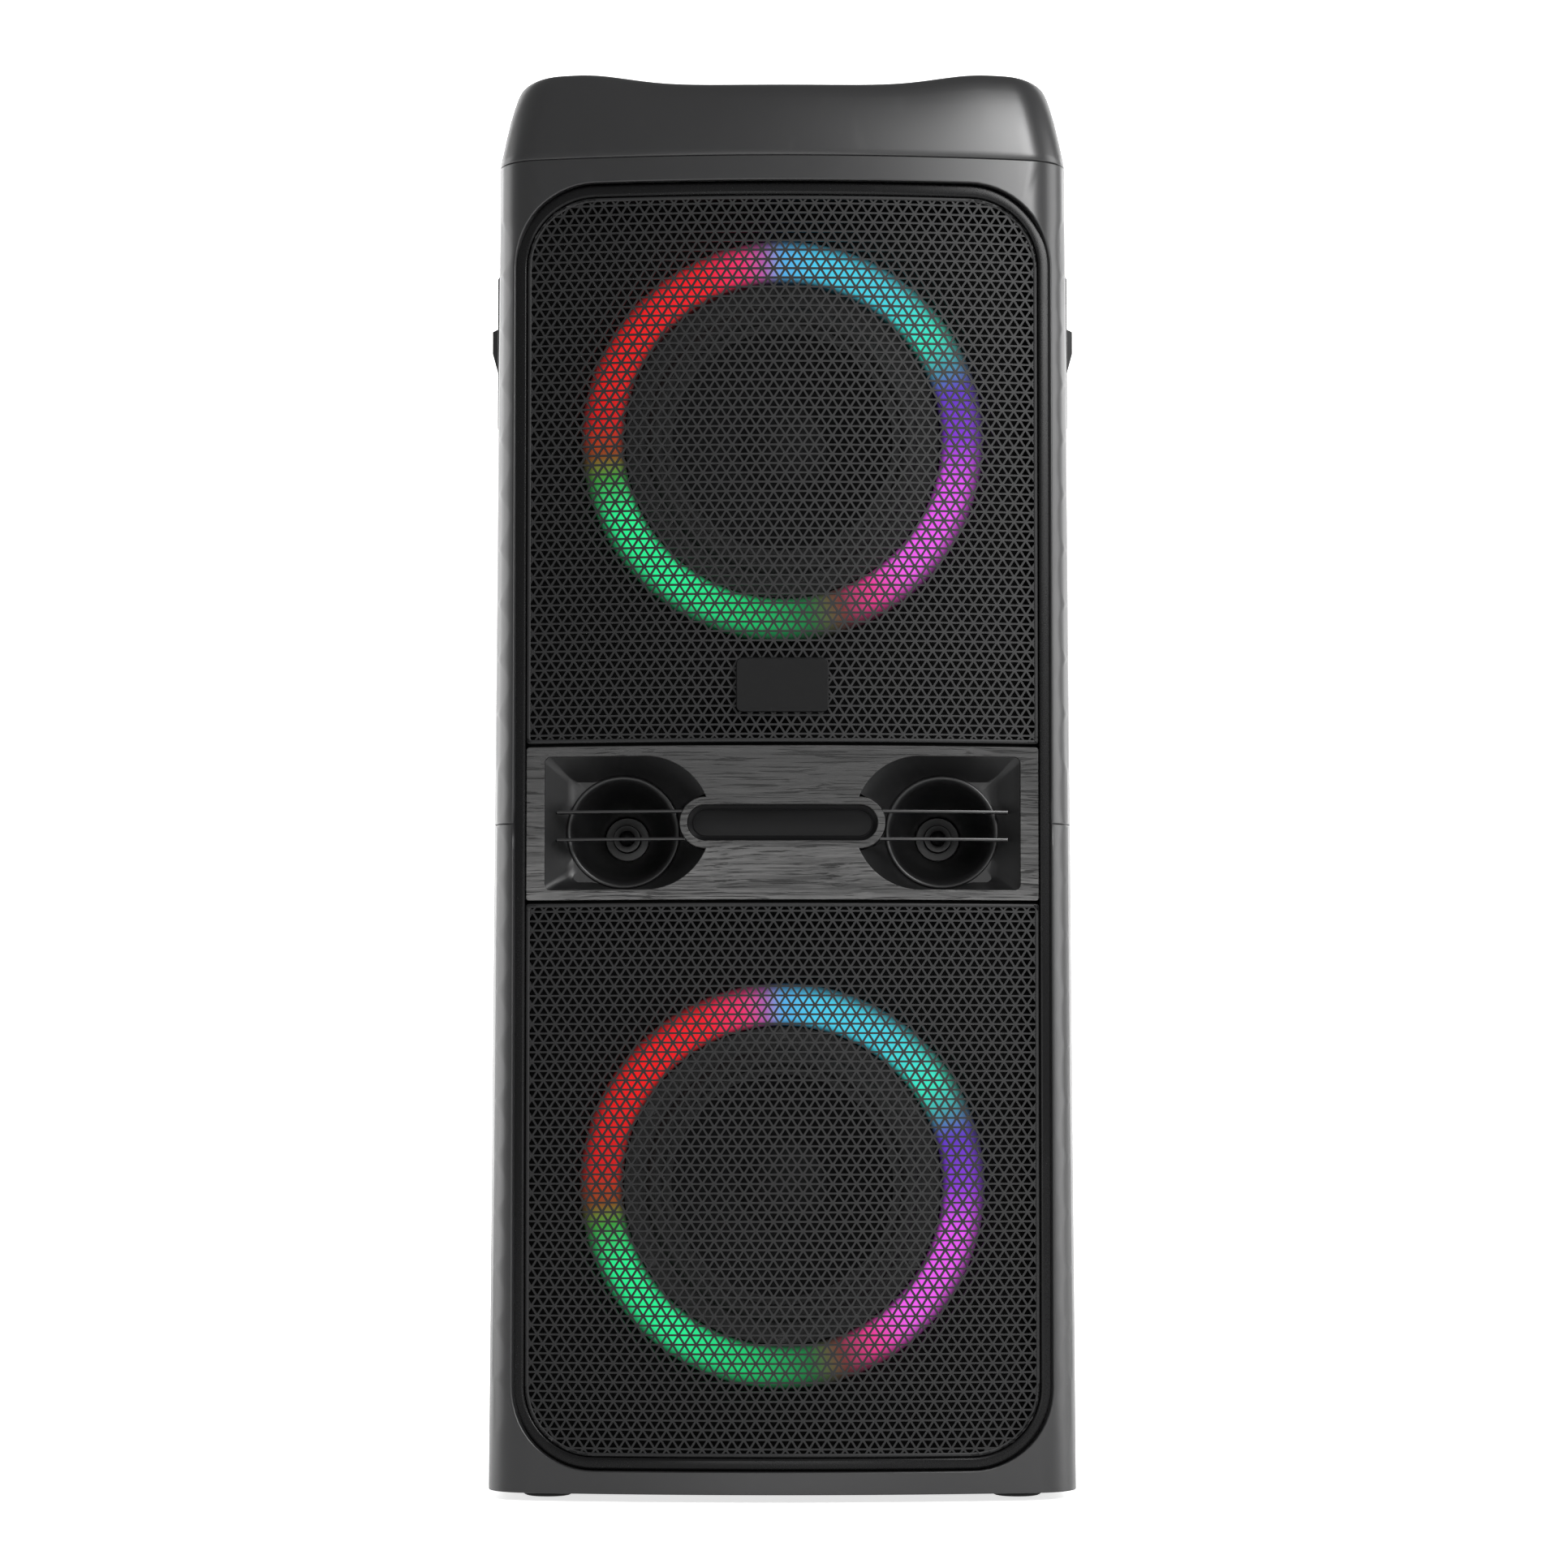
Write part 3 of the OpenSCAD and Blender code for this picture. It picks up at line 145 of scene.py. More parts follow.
class ShaderTree:
    """Builds one material's nodes."""

    def __init__(self, name: str) -> None:
        """Makes an empty material with its shader and output."""
        self.material = bpy.data.materials.new(name)
        self.material.use_nodes = True
        self.nodes = self.material.node_tree.nodes
        self.links = self.material.node_tree.links
        self.nodes.clear()
        self.shader = self.nodes.new("ShaderNodeBsdfPrincipled")
        output = self.nodes.new("ShaderNodeOutputMaterial")
        self.links.new(self.shader.outputs["BSDF"], output.inputs["Surface"])

    def node(self, kind: str, settings: dict | None = None, inputs: dict | None = None,
             output: int | str = 0) -> Shade:
        """Adds any node.

        Args:
            kind: the node's type.
            settings: its own settings; "stops" fills a colour ramp.
            inputs: values or links, by the socket's name or number.
            output: the wanted output socket.

        Returns:
            That output.
        """
        made = self.nodes.new(kind)
        for key, value in (settings or {}).items():
            if key == "stops":
                self._fill_ramp(made.color_ramp, value)
            else:
                setattr(made, key, value)
        for key, value in (inputs or {}).items():
            if isinstance(value, Shade):
                self.links.new(value.socket, made.inputs[key])
            else:
                made.inputs[key].default_value = value
        return Shade(self, made.outputs[output])

    @staticmethod
    def _fill_ramp(ramp: bpy.types.ColorRamp, stops: Sequence[tuple[float, Sequence[float]]]) -> None:
        """Sets a colour ramp's stops from (place, colour) pairs."""
        while len(ramp.elements) > 1:
            ramp.elements.remove(ramp.elements[-1])
        for number, (place, colour) in enumerate(stops):
            stop = ramp.elements[0] if number == 0 else ramp.elements.new(place)
            stop.position = place
            stop.color = (*colour[:3], 1.0)

    def place(self) -> Shade:
        """Object coordinates, in metres."""
        return self.node("ShaderNodeTexCoord", output="Object")

    def split(self, vector: Shade) -> tuple[Shade, Shade, Shade]:
        """The X, Y and Z of a vector."""
        made = self.node("ShaderNodeSeparateXYZ", inputs={0: vector})
        return tuple(Shade(self, made.socket.node.outputs[n]) for n in range(3))

    def noise(self, scale: float, detail: float = 2.0, rough: float = 0.5, vector: Shade | None = None,
              stretch: Point3 = (1, 1, 1)) -> Shade:
        """Noise of about 0 to 1 in object space.

        Args:
            scale: how many waves fit in a metre.
            detail: octaves.
            rough: share of the fine octaves.
            vector: coordinates other than the object's.
            stretch: scale along each axis.

        Returns:
            The noise value.
        """
        mapping = {"Vector": vector or self.place(), "Scale": stretch}
        mapped = self.node("ShaderNodeMapping", inputs=mapping)
        sockets = {"Vector": mapped, "Scale": scale, "Detail": detail, "Roughness": rough}
        return self.node("ShaderNodeTexNoise", inputs=sockets)

    def mix(self, factor: Shade, low: Sequence[float] | Shade, high: Sequence[float] | Shade) -> Shade:
        """Mixes two colours."""
        first, second = (c if isinstance(c, Shade) else (*c[:3], 1.0) for c in (low, high))
        return self.node("ShaderNodeMix", {"data_type": "RGBA"}, {0: factor, 6: first, 7: second}, 2)

    def bump(self, height: Shade, strength: float, distance: float) -> Shade:
        """A normal bent by a height field."""
        inputs = {"Height": height, "Strength": strength, "Distance": distance}
        return self.node("ShaderNodeBump", inputs=inputs)

    def feed(self, **sockets: "Shade | float | Sequence[float]") -> None:
        """Sets the shader's sockets: a name with _ for a blank, and a value or a link."""
        for key, value in sockets.items():
            socket = self.shader.inputs[key.replace("_", " ")]
            if isinstance(value, Shade):
                self.links.new(value.socket, socket)
            else:
                socket.default_value = (*value, 1.0) if not isinstance(value, (int, float)) else value


# --- Finishes ---

@dataclass(frozen=True)
class Moulding:
    """Moulded plastic, painted metal or rubber with a fine texture and slight wear.

    Attributes:
        name: the material's name.
        colour: base colour.
        rough: mean roughness.
        grain: grains per metre of the fine texture.
        relief: height of the texture, in metres.
        vary: how much colour and roughness vary.
        metal: metallic share.
        coat: weight of a clear coat.
        specular: specular level.
    """

    name: str
    colour: Point3
    rough: float = 0.45
    grain: float = 2600.0
    relief: float = 0.00002
    vary: float = 0.18
    metal: float = 0.0
    coat: float = 0.0
    specular: float = 0.5

    def build(self) -> bpy.types.Material:
        """The finished material."""
        tree = ShaderTree(self.name)
        broad = tree.noise(7.0, 3.0)
        fine = tree.noise(self.grain, 2.0, 0.6)
        scuff = tree.noise(90.0, 4.0, 0.65, stretch=(1, 1, 0.4)).between(0.55, 0.8)
        dark = tuple(c * (1 - self.vary) for c in self.colour)
        pale = tuple(min(1.0, c * (1 + self.vary) + 0.002) for c in self.colour)
        tree.feed(
            Base_Color=tree.mix(broad * 0.7 + fine * 0.3, dark, pale),
            Roughness=self.rough + (broad - 0.5) * 0.12 + scuff * 0.05 + (fine - 0.5) * 0.05,
            Metallic=self.metal,
            Coat_Weight=self.coat,
            Coat_Roughness=0.08,
            Specular_IOR_Level=self.specular,
            Normal=tree.bump(fine, 0.35, self.relief),
        )
        return tree.material


@dataclass(frozen=True)
class WoodGrainAndPaintedShade:
    """Dark film with horizontal wood grain and painted shade: its colour is darker towards the top and
    lighter towards the bottom, standing in for light from the floor.

    Attributes:
        name: the material's name.
        dark: colour of the pores.
        pale: colour of the ridges.
        middle_z: height about which the painted shade turns the film lighter downwards, in metres.
    """

    name: str
    dark: Point3
    pale: Point3
    middle_z: float

    def build(self) -> bpy.types.Material:
        """The finished material."""
        tree = ShaderTree(self.name)
        warp = tree.noise(9.0, 2.0, stretch=(0.6, 1, 2.0))
        x, _, z = tree.split(tree.place())
        bent = tree.node("ShaderNodeCombineXYZ", inputs={0: x, 1: warp * 0.02, 2: z + warp * 0.012})
        streak = tree.noise(620.0, 6.0, 0.7, bent, (0.03, 1, 1.0))
        broad = tree.noise(150.0, 4.0, 0.6, bent, (0.035, 1, 1.0))
        pore = tree.noise(1100.0, 3.0, 0.6, bent, (0.02, 1, 1.0)).between(0.54, 0.66)
        height = streak * 0.7 + broad * 0.3 - pore * 0.5
        tone = (streak * 0.6 + broad * 0.4 - pore * 0.2).between(0.34, 0.66)
        # Painted shade: the film's colour is darkened above middle_z and kept lighter below it, standing in
        # for floor light on the lower part.
        upper = (z - self.middle_z).between(-0.04, 0.025) * 0.82
        tree.feed(
            Base_Color=tree.mix(tone * (1.0 - upper), self.dark, self.pale),
            Roughness=0.5 - tone * 0.14 + pore * 0.15,
            Specular_IOR_Level=0.5,
            Normal=tree.bump(height, 0.9, 0.0006),
        )
        return tree.material


@dataclass(frozen=True)
class LightRingGlow:
    """Light ring whose colour runs round it, brightest in the middle of its width.

    Attributes:
        name: the material's name.
        centre_z: height of the ring's middle, in metres.
        inner: inner radius of the lit band, in metres.
        outer: outer radius of the lit band, in metres.
        stops: colours round the ring, clockwise from the top, as (turn, colour).
        strength: emission strength.
    """

    name: str
    centre_z: float
    inner: float
    outer: float
    stops: tuple[tuple[float, Point3], ...]
    strength: float = 1.05

    def build(self) -> bpy.types.Material:
        """The finished material."""
        tree = ShaderTree(self.name)
        x, _, z = tree.split(tree.place())
        up = z - self.centre_z
        turn = x.angle_with(up) / (2 * math.pi)
        clock = tree.node("ShaderNodeMath", {"operation": "WRAP"}, {0: turn, 1: 0.0, 2: 1.0})
        hue = tree.node("ShaderNodeValToRGB", {"stops": self.stops}, {0: clock})
        across = (x.length_with(up) - self.inner) / (self.outer - self.inner)
        band = across.between(-0.02, 0.2) * (1.0 - across.between(0.62, 1.04))
        glow = tree.mix(band * (0.9 + 0.2 * tree.noise(240.0)), (0, 0, 0), hue)
        tree.feed(
            Base_Color=tree.mix(tree.noise(30.0), (0.03, 0.03, 0.032), (0.045, 0.045, 0.047)),
            Roughness=0.5 + tree.noise(60.0) * 0.1,
            Specular_IOR_Level=0.15,
            Emission_Color=glow,
            Emission_Strength=self.strength,
            Normal=tree.bump(tree.noise(500.0), 0.1, 0.0001),
        )
        return tree.material


@dataclass(frozen=True)
class SmokedGlass:
    """Glossy smoked plastic, slightly streaked.

    Attributes:
        name: the material's name.
        colour: base colour.
    """

    name: str
    colour: Point3

    def build(self) -> bpy.types.Material:
        """The finished material."""
        tree = ShaderTree(self.name)
        smear = tree.noise(40.0, 3.0, stretch=(1, 1, 3))
        tree.feed(
            Base_Color=tree.mix(smear, self.colour, tuple(c * 1.3 for c in self.colour)),
            Roughness=0.28 + smear * 0.1,
            Specular_IOR_Level=0.09,
            Normal=tree.bump(smear, 0.05, 0.0001),
        )
        return tree.material


# Colours round a light ring, clockwise from the top, as (turn, colour).
RING_COLOURS: tuple[tuple[float, Point3], ...] = (
    (0.0, (0.08, 0.38, 0.75)), (0.03, (0.06, 0.56, 0.80)), (0.10, (0.05, 0.60, 0.70)),
    (0.155, (0.03, 0.75, 0.50)), (0.185, (0.05, 0.25, 0.35)), (0.205, (0.10, 0.03, 0.50)),
    (0.25, (0.22, 0.03, 0.62)), (0.29, (0.75, 0.08, 0.85)), (0.38, (0.85, 0.10, 0.80)),
    (0.415, (0.75, 0.03, 0.25)), (0.445, (0.14, 0.02, 0.02)), (0.475, (0.0, 0.14, 0.03)),
    (0.53, (0.0, 0.50, 0.13)), (0.60, (0.01, 0.82, 0.28)), (0.68, (0.01, 0.80, 0.25)),
    (0.715, (0.03, 0.28, 0.03)), (0.735, (0.20, 0.04, 0.0)), (0.765, (0.55, 0.0, 0.0)),
    (0.85, (0.78, 0.0, 0.0)), (0.93, (0.82, 0.0, 0.01)), (0.965, (0.78, 0.02, 0.14)),
    (0.985, (0.35, 0.10, 0.40)), (1.0, (0.08, 0.38, 0.75)),
)


class Finish(Enum):
    """Every finish of the speaker."""

    SHELL = Moulding("shell_plastic", (0.012, 0.012, 0.0125), 0.34, 2400, 0.00003, 0.10)
    FRAME = Moulding("frame_gloss", (0.003, 0.003, 0.0032), 0.26, 1500, 0.000004, 0.2, specular=0.15)
    GRILLE = Moulding("grille_paint", (0.009, 0.009, 0.0093), 0.5, 5000, 0.00002, 0.25, specular=0.26)
    WOOD = WoodGrainAndPaintedShade("panel_wood_grain_and_painted_shade", (0.005, 0.0049, 0.0048), (0.088, 0.087, 0.086),
                     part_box("horn_panel")[0].z + 0.04)
    HORN = Moulding("horn_plastic", (0.006, 0.006, 0.0063), 0.36, 1800, 0.00001, 0.2, specular=0.4)
    FIN = Moulding("fin_plastic", (0.008, 0.008, 0.0083), 0.3, 1800, 0.00001, 0.2)
    GLASS = SmokedGlass("display_smoke", (0.0035, 0.0035, 0.0037))
    BADGE = Moulding("badge_satin", (0.0045, 0.0045, 0.0047), 0.4, 900, 0.000006, 0.1, specular=0.12)
    RUBBER = Moulding("rubber_black", (0.010, 0.010, 0.010), 0.75, 3000, 0.00004, 0.3)
    CONTROL = Moulding("control_plastic", (0.018, 0.018, 0.0185), 0.42, 2600, 0.00002, 0.15)
    KNOB = Moulding("knob_anodised", (0.035, 0.035, 0.037), 0.3, 3500, 0.00001, 0.2, metal=0.7)
    MARK = Moulding("mark_paint", (0.62, 0.63, 0.64), 0.5, 2000, 0.000004, 0.05)
    BOARD = Moulding("circuit_green", (0.012, 0.07, 0.03), 0.4, 1200, 0.00003, 0.3)
    STEEL = Moulding("zinc_steel", (0.42, 0.43, 0.44), 0.32, 1800, 0.00001, 0.15, metal=1.0)
    BLACK_METAL = Moulding("black_metal", (0.015, 0.015, 0.015), 0.45, 1600, 0.00002, 0.25, metal=0.6)
    FERRITE = Moulding("ferrite_grey", (0.03, 0.03, 0.033), 0.6, 2200, 0.00003, 0.3)
    COPPER = Moulding("copper_wire", (0.50, 0.20, 0.08), 0.35, 5000, 0.00004, 0.2, metal=0.9)
    PAPER = Moulding("cone_pulp", (0.006, 0.006, 0.0063), 0.7, 1500, 0.00008, 0.35, specular=0.2)
    CLOTH = Moulding("spider_cloth", (0.30, 0.19, 0.06), 0.8, 1800, 0.0001, 0.3)
    FIBREBOARD = Moulding("baffle_black", (0.002, 0.002, 0.002), 0.8, 1200, 0.00008, 0.4, specular=0.1)
    ALUMINIUM = Moulding("sink_aluminium", (0.50, 0.51, 0.52), 0.38, 2600, 0.00001, 0.15, metal=1.0)
    WRAP = Moulding("battery_wrap", (0.02, 0.045, 0.16), 0.25, 600, 0.00002, 0.2, coat=0.3)
    SCREW = Moulding("screw_black_oxide", (0.03, 0.03, 0.03), 0.35, 2200, 0.00001, 0.25, metal=0.9)
    ROCKER = Moulding("rocker_red", (0.22, 0.012, 0.010), 0.25, 900, 0.000006, 0.15, coat=0.3)

    @property
    def material(self) -> bpy.types.Material:
        """The material, built once."""
        return bpy.data.materials.get(self.value.name) or self.value.build()


# --- Mesh helpers ---

def add_object(name: str, data: bpy.types.ID) -> bpy.types.Object:
    """Links a new object to the scene."""
    made = bpy.data.objects.new(name, data)
    bpy.context.scene.collection.objects.link(made)
    return made


@contextmanager
def editing(mesh: bpy.types.Mesh) -> Iterator[bmesh.types.BMesh]:
    """Opens a mesh for editing and writes the result back."""
    work = bmesh.new()
    work.from_mesh(mesh)
    yield work
    work.to_mesh(mesh)
    work.free()


def make_object(name: str, points: Sequence[Sequence[float]], faces: Sequence[Sequence[int]],
                finish: Finish, merge: float = 0.02 * MM) -> bpy.types.Object:
    """Makes a clean mesh object: doubles merged, normals outwards.

    Args:
        name: the piece's name.
        points: corners in metres.
        faces: corner numbers of each face.
        finish: the finish of its one slot.
        merge: corners closer than this become one.

    Returns:
        The linked object.
    """
    mesh = bpy.data.meshes.new(name)
    mesh.from_pydata([tuple(p) for p in points], [], [tuple(f) for f in faces])
    made = add_object(name, mesh)
    tidy_mesh(mesh, merge)
    mesh.materials.append(finish.material)
    return made


def tidy_mesh(mesh: bpy.types.Mesh, merge: float = 0.02 * MM) -> None:
    """Merges doubles, drops faces without area and turns normals outwards."""
    with editing(mesh) as work:
        bmesh.ops.remove_doubles(work, verts=work.verts, dist=merge)
        bmesh.ops.dissolve_degenerate(work, edges=work.edges, dist=merge / 2)
        bmesh.ops.recalc_face_normals(work, faces=work.faces)
    mesh.update()


def shade(made: bpy.types.Object, angle: float = 32.0) -> None:
    """Smooth shading with edges sharper than an angle, in degrees, kept sharp."""
    made.data.shade_smooth()
    made.data.set_sharp_from_angle(angle=math.radians(angle))


def apply_modifiers(made: bpy.types.Object) -> None:
    """Turns the evaluated object into its plain mesh and drops its modifiers."""
    bpy.context.view_layer.update()
    evaluated = made.evaluated_get(bpy.context.evaluated_depsgraph_get())
    mesh = bpy.data.meshes.new_from_object(evaluated)
    made.modifiers.clear()
    made.data = mesh


def modify(made: bpy.types.Object, kind: str, **settings: float | str | bool) -> None:
    """Adds one modifier with its settings and applies it."""
    modifier = made.modifiers.new(kind.lower(), kind)
    for key, value in settings.items():
        setattr(modifier, key, value)
    apply_modifiers(made)


def bevel(made: bpy.types.Object, width: float, angle: float = 35.0) -> None:
    """Rounds edges sharper than an angle, in degrees, and keeps the flat faces flat in shading."""
    modify(made, "BEVEL", width=width, segments=2, limit_method="ANGLE", angle_limit=math.radians(angle))
    shade(made, 40.0)
    modify(made, "WEIGHTED_NORMAL", keep_sharp=True)


def loft(rings: Sequence[Sequence[Point3]], filled: bool = False) -> tuple[Ring, Faces]:
    """Joins closed rings of equal length with quads.

    Args:
        rings: the rings, in order.
        filled: whether the first and last ring are filled.

    Returns:
        Corners and faces.
    """
    count = len(rings[0])
    points = [p for ring in rings for p in ring]
    faces: Faces = []
    for base in range(0, len(points) - count, count):
        above = base + count
        for i in range(count):
            j = (i + 1) % count
            faces.append((base + i, base + j, above + j, above + i))
    if filled:
        faces += [tuple(range(count)), tuple(range(len(points) - count, len(points)))]
    return points, faces


def arc(x: float, y: float, radius: float, start: float, end: float, steps: int) -> Loop:
    """Points along an arc, with angles in degrees."""
    angles = [math.radians(start + (end - start) * i / steps) for i in range(steps + 1)]
    return [(x + radius * math.cos(a), y + radius * math.sin(a)) for a in angles]


def circle(x: float, y: float, radius: float, steps: int) -> Loop:
    """Points round a full circle."""
    return arc(x, y, radius, 0, 360 - 360 / steps, steps - 1)


def straight(start: Point2, end: Point2, steps: int) -> Loop:
    """Points along a line, without its ends."""
    return [tuple(a + (b - a) * i / steps for a, b in zip(start, end)) for i in range(1, steps)]


def closed_loop(corners: Sequence[Sequence[Point2]], spacing: float) -> Loop:
    """Joins arcs into one loop, with straight stretches divided to a spacing."""
    loop: Loop = []
    for number, stretch in enumerate(corners):
        loop.extend(stretch)
        after = corners[(number + 1) % len(corners)][0]
        gap = math.dist(stretch[-1], after)
        loop.extend(straight(stretch[-1], after, max(1, round(gap / spacing))))
    return loop


def rounded_loop(x: float, z: float, width: float, height: float, radii: float | Sequence[float],
                 spacing: float = 6 * MM, steps: int = 10) -> Loop:
    """A rectangle with round corners, from its lower right corner upwards.

    Args:
        x: middle.
        z: middle.
        width: whole width.
        height: whole height.
        radii: one radius, or those of lower right, upper right, upper left and lower left.
        spacing: greatest distance between points of the straight stretches.
        steps: steps of each corner.

    Returns:
        The loop.
    """
    four = [radii] * 4 if isinstance(radii, (int, float)) else list(radii)
    signs = ((1, -1, -90), (1, 1, 0), (-1, 1, 90), (-1, -1, 180))
    corners = []
    for radius, (sx, sz, start) in zip(four, signs):
        cx, cz = x + sx * (width / 2 - radius), z + sz * (height / 2 - radius)
        corners.append(arc(cx, cz, radius, start, start + 90, steps))
    return closed_loop(corners, spacing)


def revolve(name: str, centre: Point3, profile: Sequence[Point2], finish: Finish,
            steps: int) -> bpy.types.Object:
    """Turns a profile of (radius, Y) round an axis along Y through a point.

    Args:
        name: the piece's name.
        centre: a point on the axis; profile depths count from it.
        profile: closed outline, or one that starts and ends on the axis.
        finish: its finish.
        steps: steps round the axis.

    Returns:
        The linked object.
    """
    rings = []
    for radius, depth in profile:
        ring = circle(0, 0, radius, steps)
        rings.append([(centre[0] + px, centre[1] + depth, centre[2] + pz) for px, pz in ring])
    if profile[0][0] > 1e-6:
        rings.append(rings[0])
    points, faces = loft(rings)
    made = make_object(name, points, faces, finish)
    shade(made)
    return made


def filled_sheet(outline: Sequence[Point2], holes: Sequence[Sequence[Point2]],
                 inner: Iterable[Point2]) -> tuple[Loop, Faces]:
    """Triangulates a flat shape with holes, with extra points inside it.

    Args:
        outline: outer loop.
        holes: inner loops.
        inner: points for the mesh to pass through.

    Returns:
        Points and triangles.
    """
    loops = [list(outline), *[list(h) for h in holes]]
    points: Loop = []
    edges: list[tuple[int, int]] = []
    for loop in loops:
        first = len(points)
        points.extend(loop)
        edges.extend((first + i, first + (i + 1) % len(loop)) for i in range(len(loop)))
    points.extend(inner)
    corners, _, triangles, *_ = delaunay_2d_cdt([Vector(p) for p in points], edges, [], 0, 1e-7)
    kept = []
    for face in triangles:
        middle = sum((corners[i] for i in face), Vector((0, 0))) / len(face)
        if inside(middle, loops[0]) and not any(inside(middle, hole) for hole in loops[1:]):
            kept.append(tuple(face))
    return [tuple(p) for p in corners], kept


def inside(point: Sequence[float], loop: Sequence[Point2]) -> bool:
    """Whether a point lies in a closed loop."""
    x, y = point[0], point[1]
    odd = False
    for (ax, ay), (bx, by) in zip(loop, [*loop[1:], loop[0]]):
        if (ay > y) != (by > y) and x < (bx - ax) * (y - ay) / (by - ay) + ax:
            odd = not odd
    return odd


def grid(pitch: float, columns: int, rows: int, z: float) -> Loop:
    """Points of a square grid, with a pitch in millimetres, about X = 0 and a height."""
    return [(x * pitch * MM, z + y * pitch * MM) for x in range(-columns, columns + 1)
            for y in range(-rows, rows + 1)]


def join(name: str, parts: Sequence[bpy.types.Object]) -> bpy.types.Object:
    """Joins objects into a new one, with the first one's materials."""
    work = bmesh.new()
    for part in parts:
        work.from_mesh(part.data)
    mesh = bpy.data.meshes.new(name)
    work.to_mesh(mesh)
    work.free()
    for material in parts[0].data.materials:
        mesh.materials.append(material)
    made = add_object(name, mesh)
    for part in parts:
        bpy.data.objects.remove(part)
    return made


def finish_piece(made: bpy.types.Object, body: str, slot: str, *nodes: str) -> None:
    """Rides a piece on its body and hides the CAD nodes that it stands for."""
    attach(made, body)
    if nodes:
        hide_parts(*nodes)
    LOG.info("%s: %d faces on %s", made.name, len(made.data.polygons), body)


def refined_copy(node: str, name: str, finish: Finish, width: float) -> bpy.types.Object:
    """A copy of a CAD node with merged corners, flat faces and edges rounded to a width."""
    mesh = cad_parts[node].data.copy()
    mesh.name = name
    made = add_object(name, mesh)
    with editing(mesh) as work:
        bmesh.ops.remove_doubles(work, verts=work.verts, dist=0.01 * MM)
        bmesh.ops.dissolve_limit(work, angle_limit=math.radians(0.5), verts=work.verts, edges=work.edges)
    mesh.materials.clear()
    mesh.materials.append(finish.material)
    bevel(made, width, 40.0)
    return made


# --- Sizes shared by the pieces, read from the frame ---

@lru_cache(maxsize=None)
def size_of(node: str) -> tuple[Vector, Vector, Vector]:
    """Lowest corner, highest corner and middle of a CAD node."""
    low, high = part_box(node)
    return low, high, (low + high) / 2


@dataclass
class Bulge:
    """The bulged front: a drum about a vertical axis.

    Attributes:
        radius: its radius at the cabinet's own front.
        front: the foremost Y.
    """

    radius: float = 600 * MM
    front: float = CAD_BOX[0].y

    def y(self, x: float, set_back: float) -> float:
        """Y of the drum at an X, a distance behind the cabinet's front."""
        radius = self.radius - set_back
        return self.front + self.radius - math.sqrt(radius * radius - x * x)


BULGE = Bulge()


@dataclass
class Plan:
    """Outline of the cabinet seen from above.

    Attributes:
        corner: radius of the front corners.
        rear_corner: radius of the rear corners.
    """

    corner: float = 24 * MM
    rear_corner: float = 30 * MM

    def loop(self, half: float, lean: float = 0.0, rear: float = 0.0, front_steps: int = 44,
             corner_steps: int = 14, side_steps: int = 20) -> Loop:
        """One loop of the outline, with a fixed number of points.

        Args:
            half: half of the width.
            lean: how far the front lies behind the cabinet's front.
            rear: how far the rear lies before the cabinet's rear.
            front_steps: steps along the bulge.
            corner_steps: steps of each corner.
            side_steps: steps along each side and along the rear.

        Returns:
            The loop, from the left end of the bulge to the right and round the rear.
        """
        y0, y1 = CAD_BOX[0].y + lean, CAD_BOX[1].y - rear
        radius, c, cr = BULGE.radius, self.corner, self.rear_corner
        axis = y0 + radius
        ky = axis - math.sqrt((radius - c) ** 2 - (half - c) ** 2)
        turn = math.degrees(math.atan2(ky - axis, half - c))
        front = arc(0, axis, radius, -180 - turn, turn, front_steps)
        right = arc(half - c, ky, c, turn, 0, corner_steps)[1:]
        rear_right = arc(half - cr, y1 - cr, cr, 0, 90, corner_steps)
        rear_left = arc(cr - half, y1 - cr, cr, 90, 180, corner_steps)
        left = arc(c - half, ky, c, 180, 180 - turn, corner_steps)[:-1]
        side_r = straight(right[-1], rear_right[0], side_steps)
        back = straight(rear_right[-1], rear_left[0], side_steps)
        side_l = straight(rear_left[-1], left[0], side_steps)
        return [*front, *right, *side_r, *rear_right, *back, *rear_left, *side_l, *left]


# --- Cabinet ---

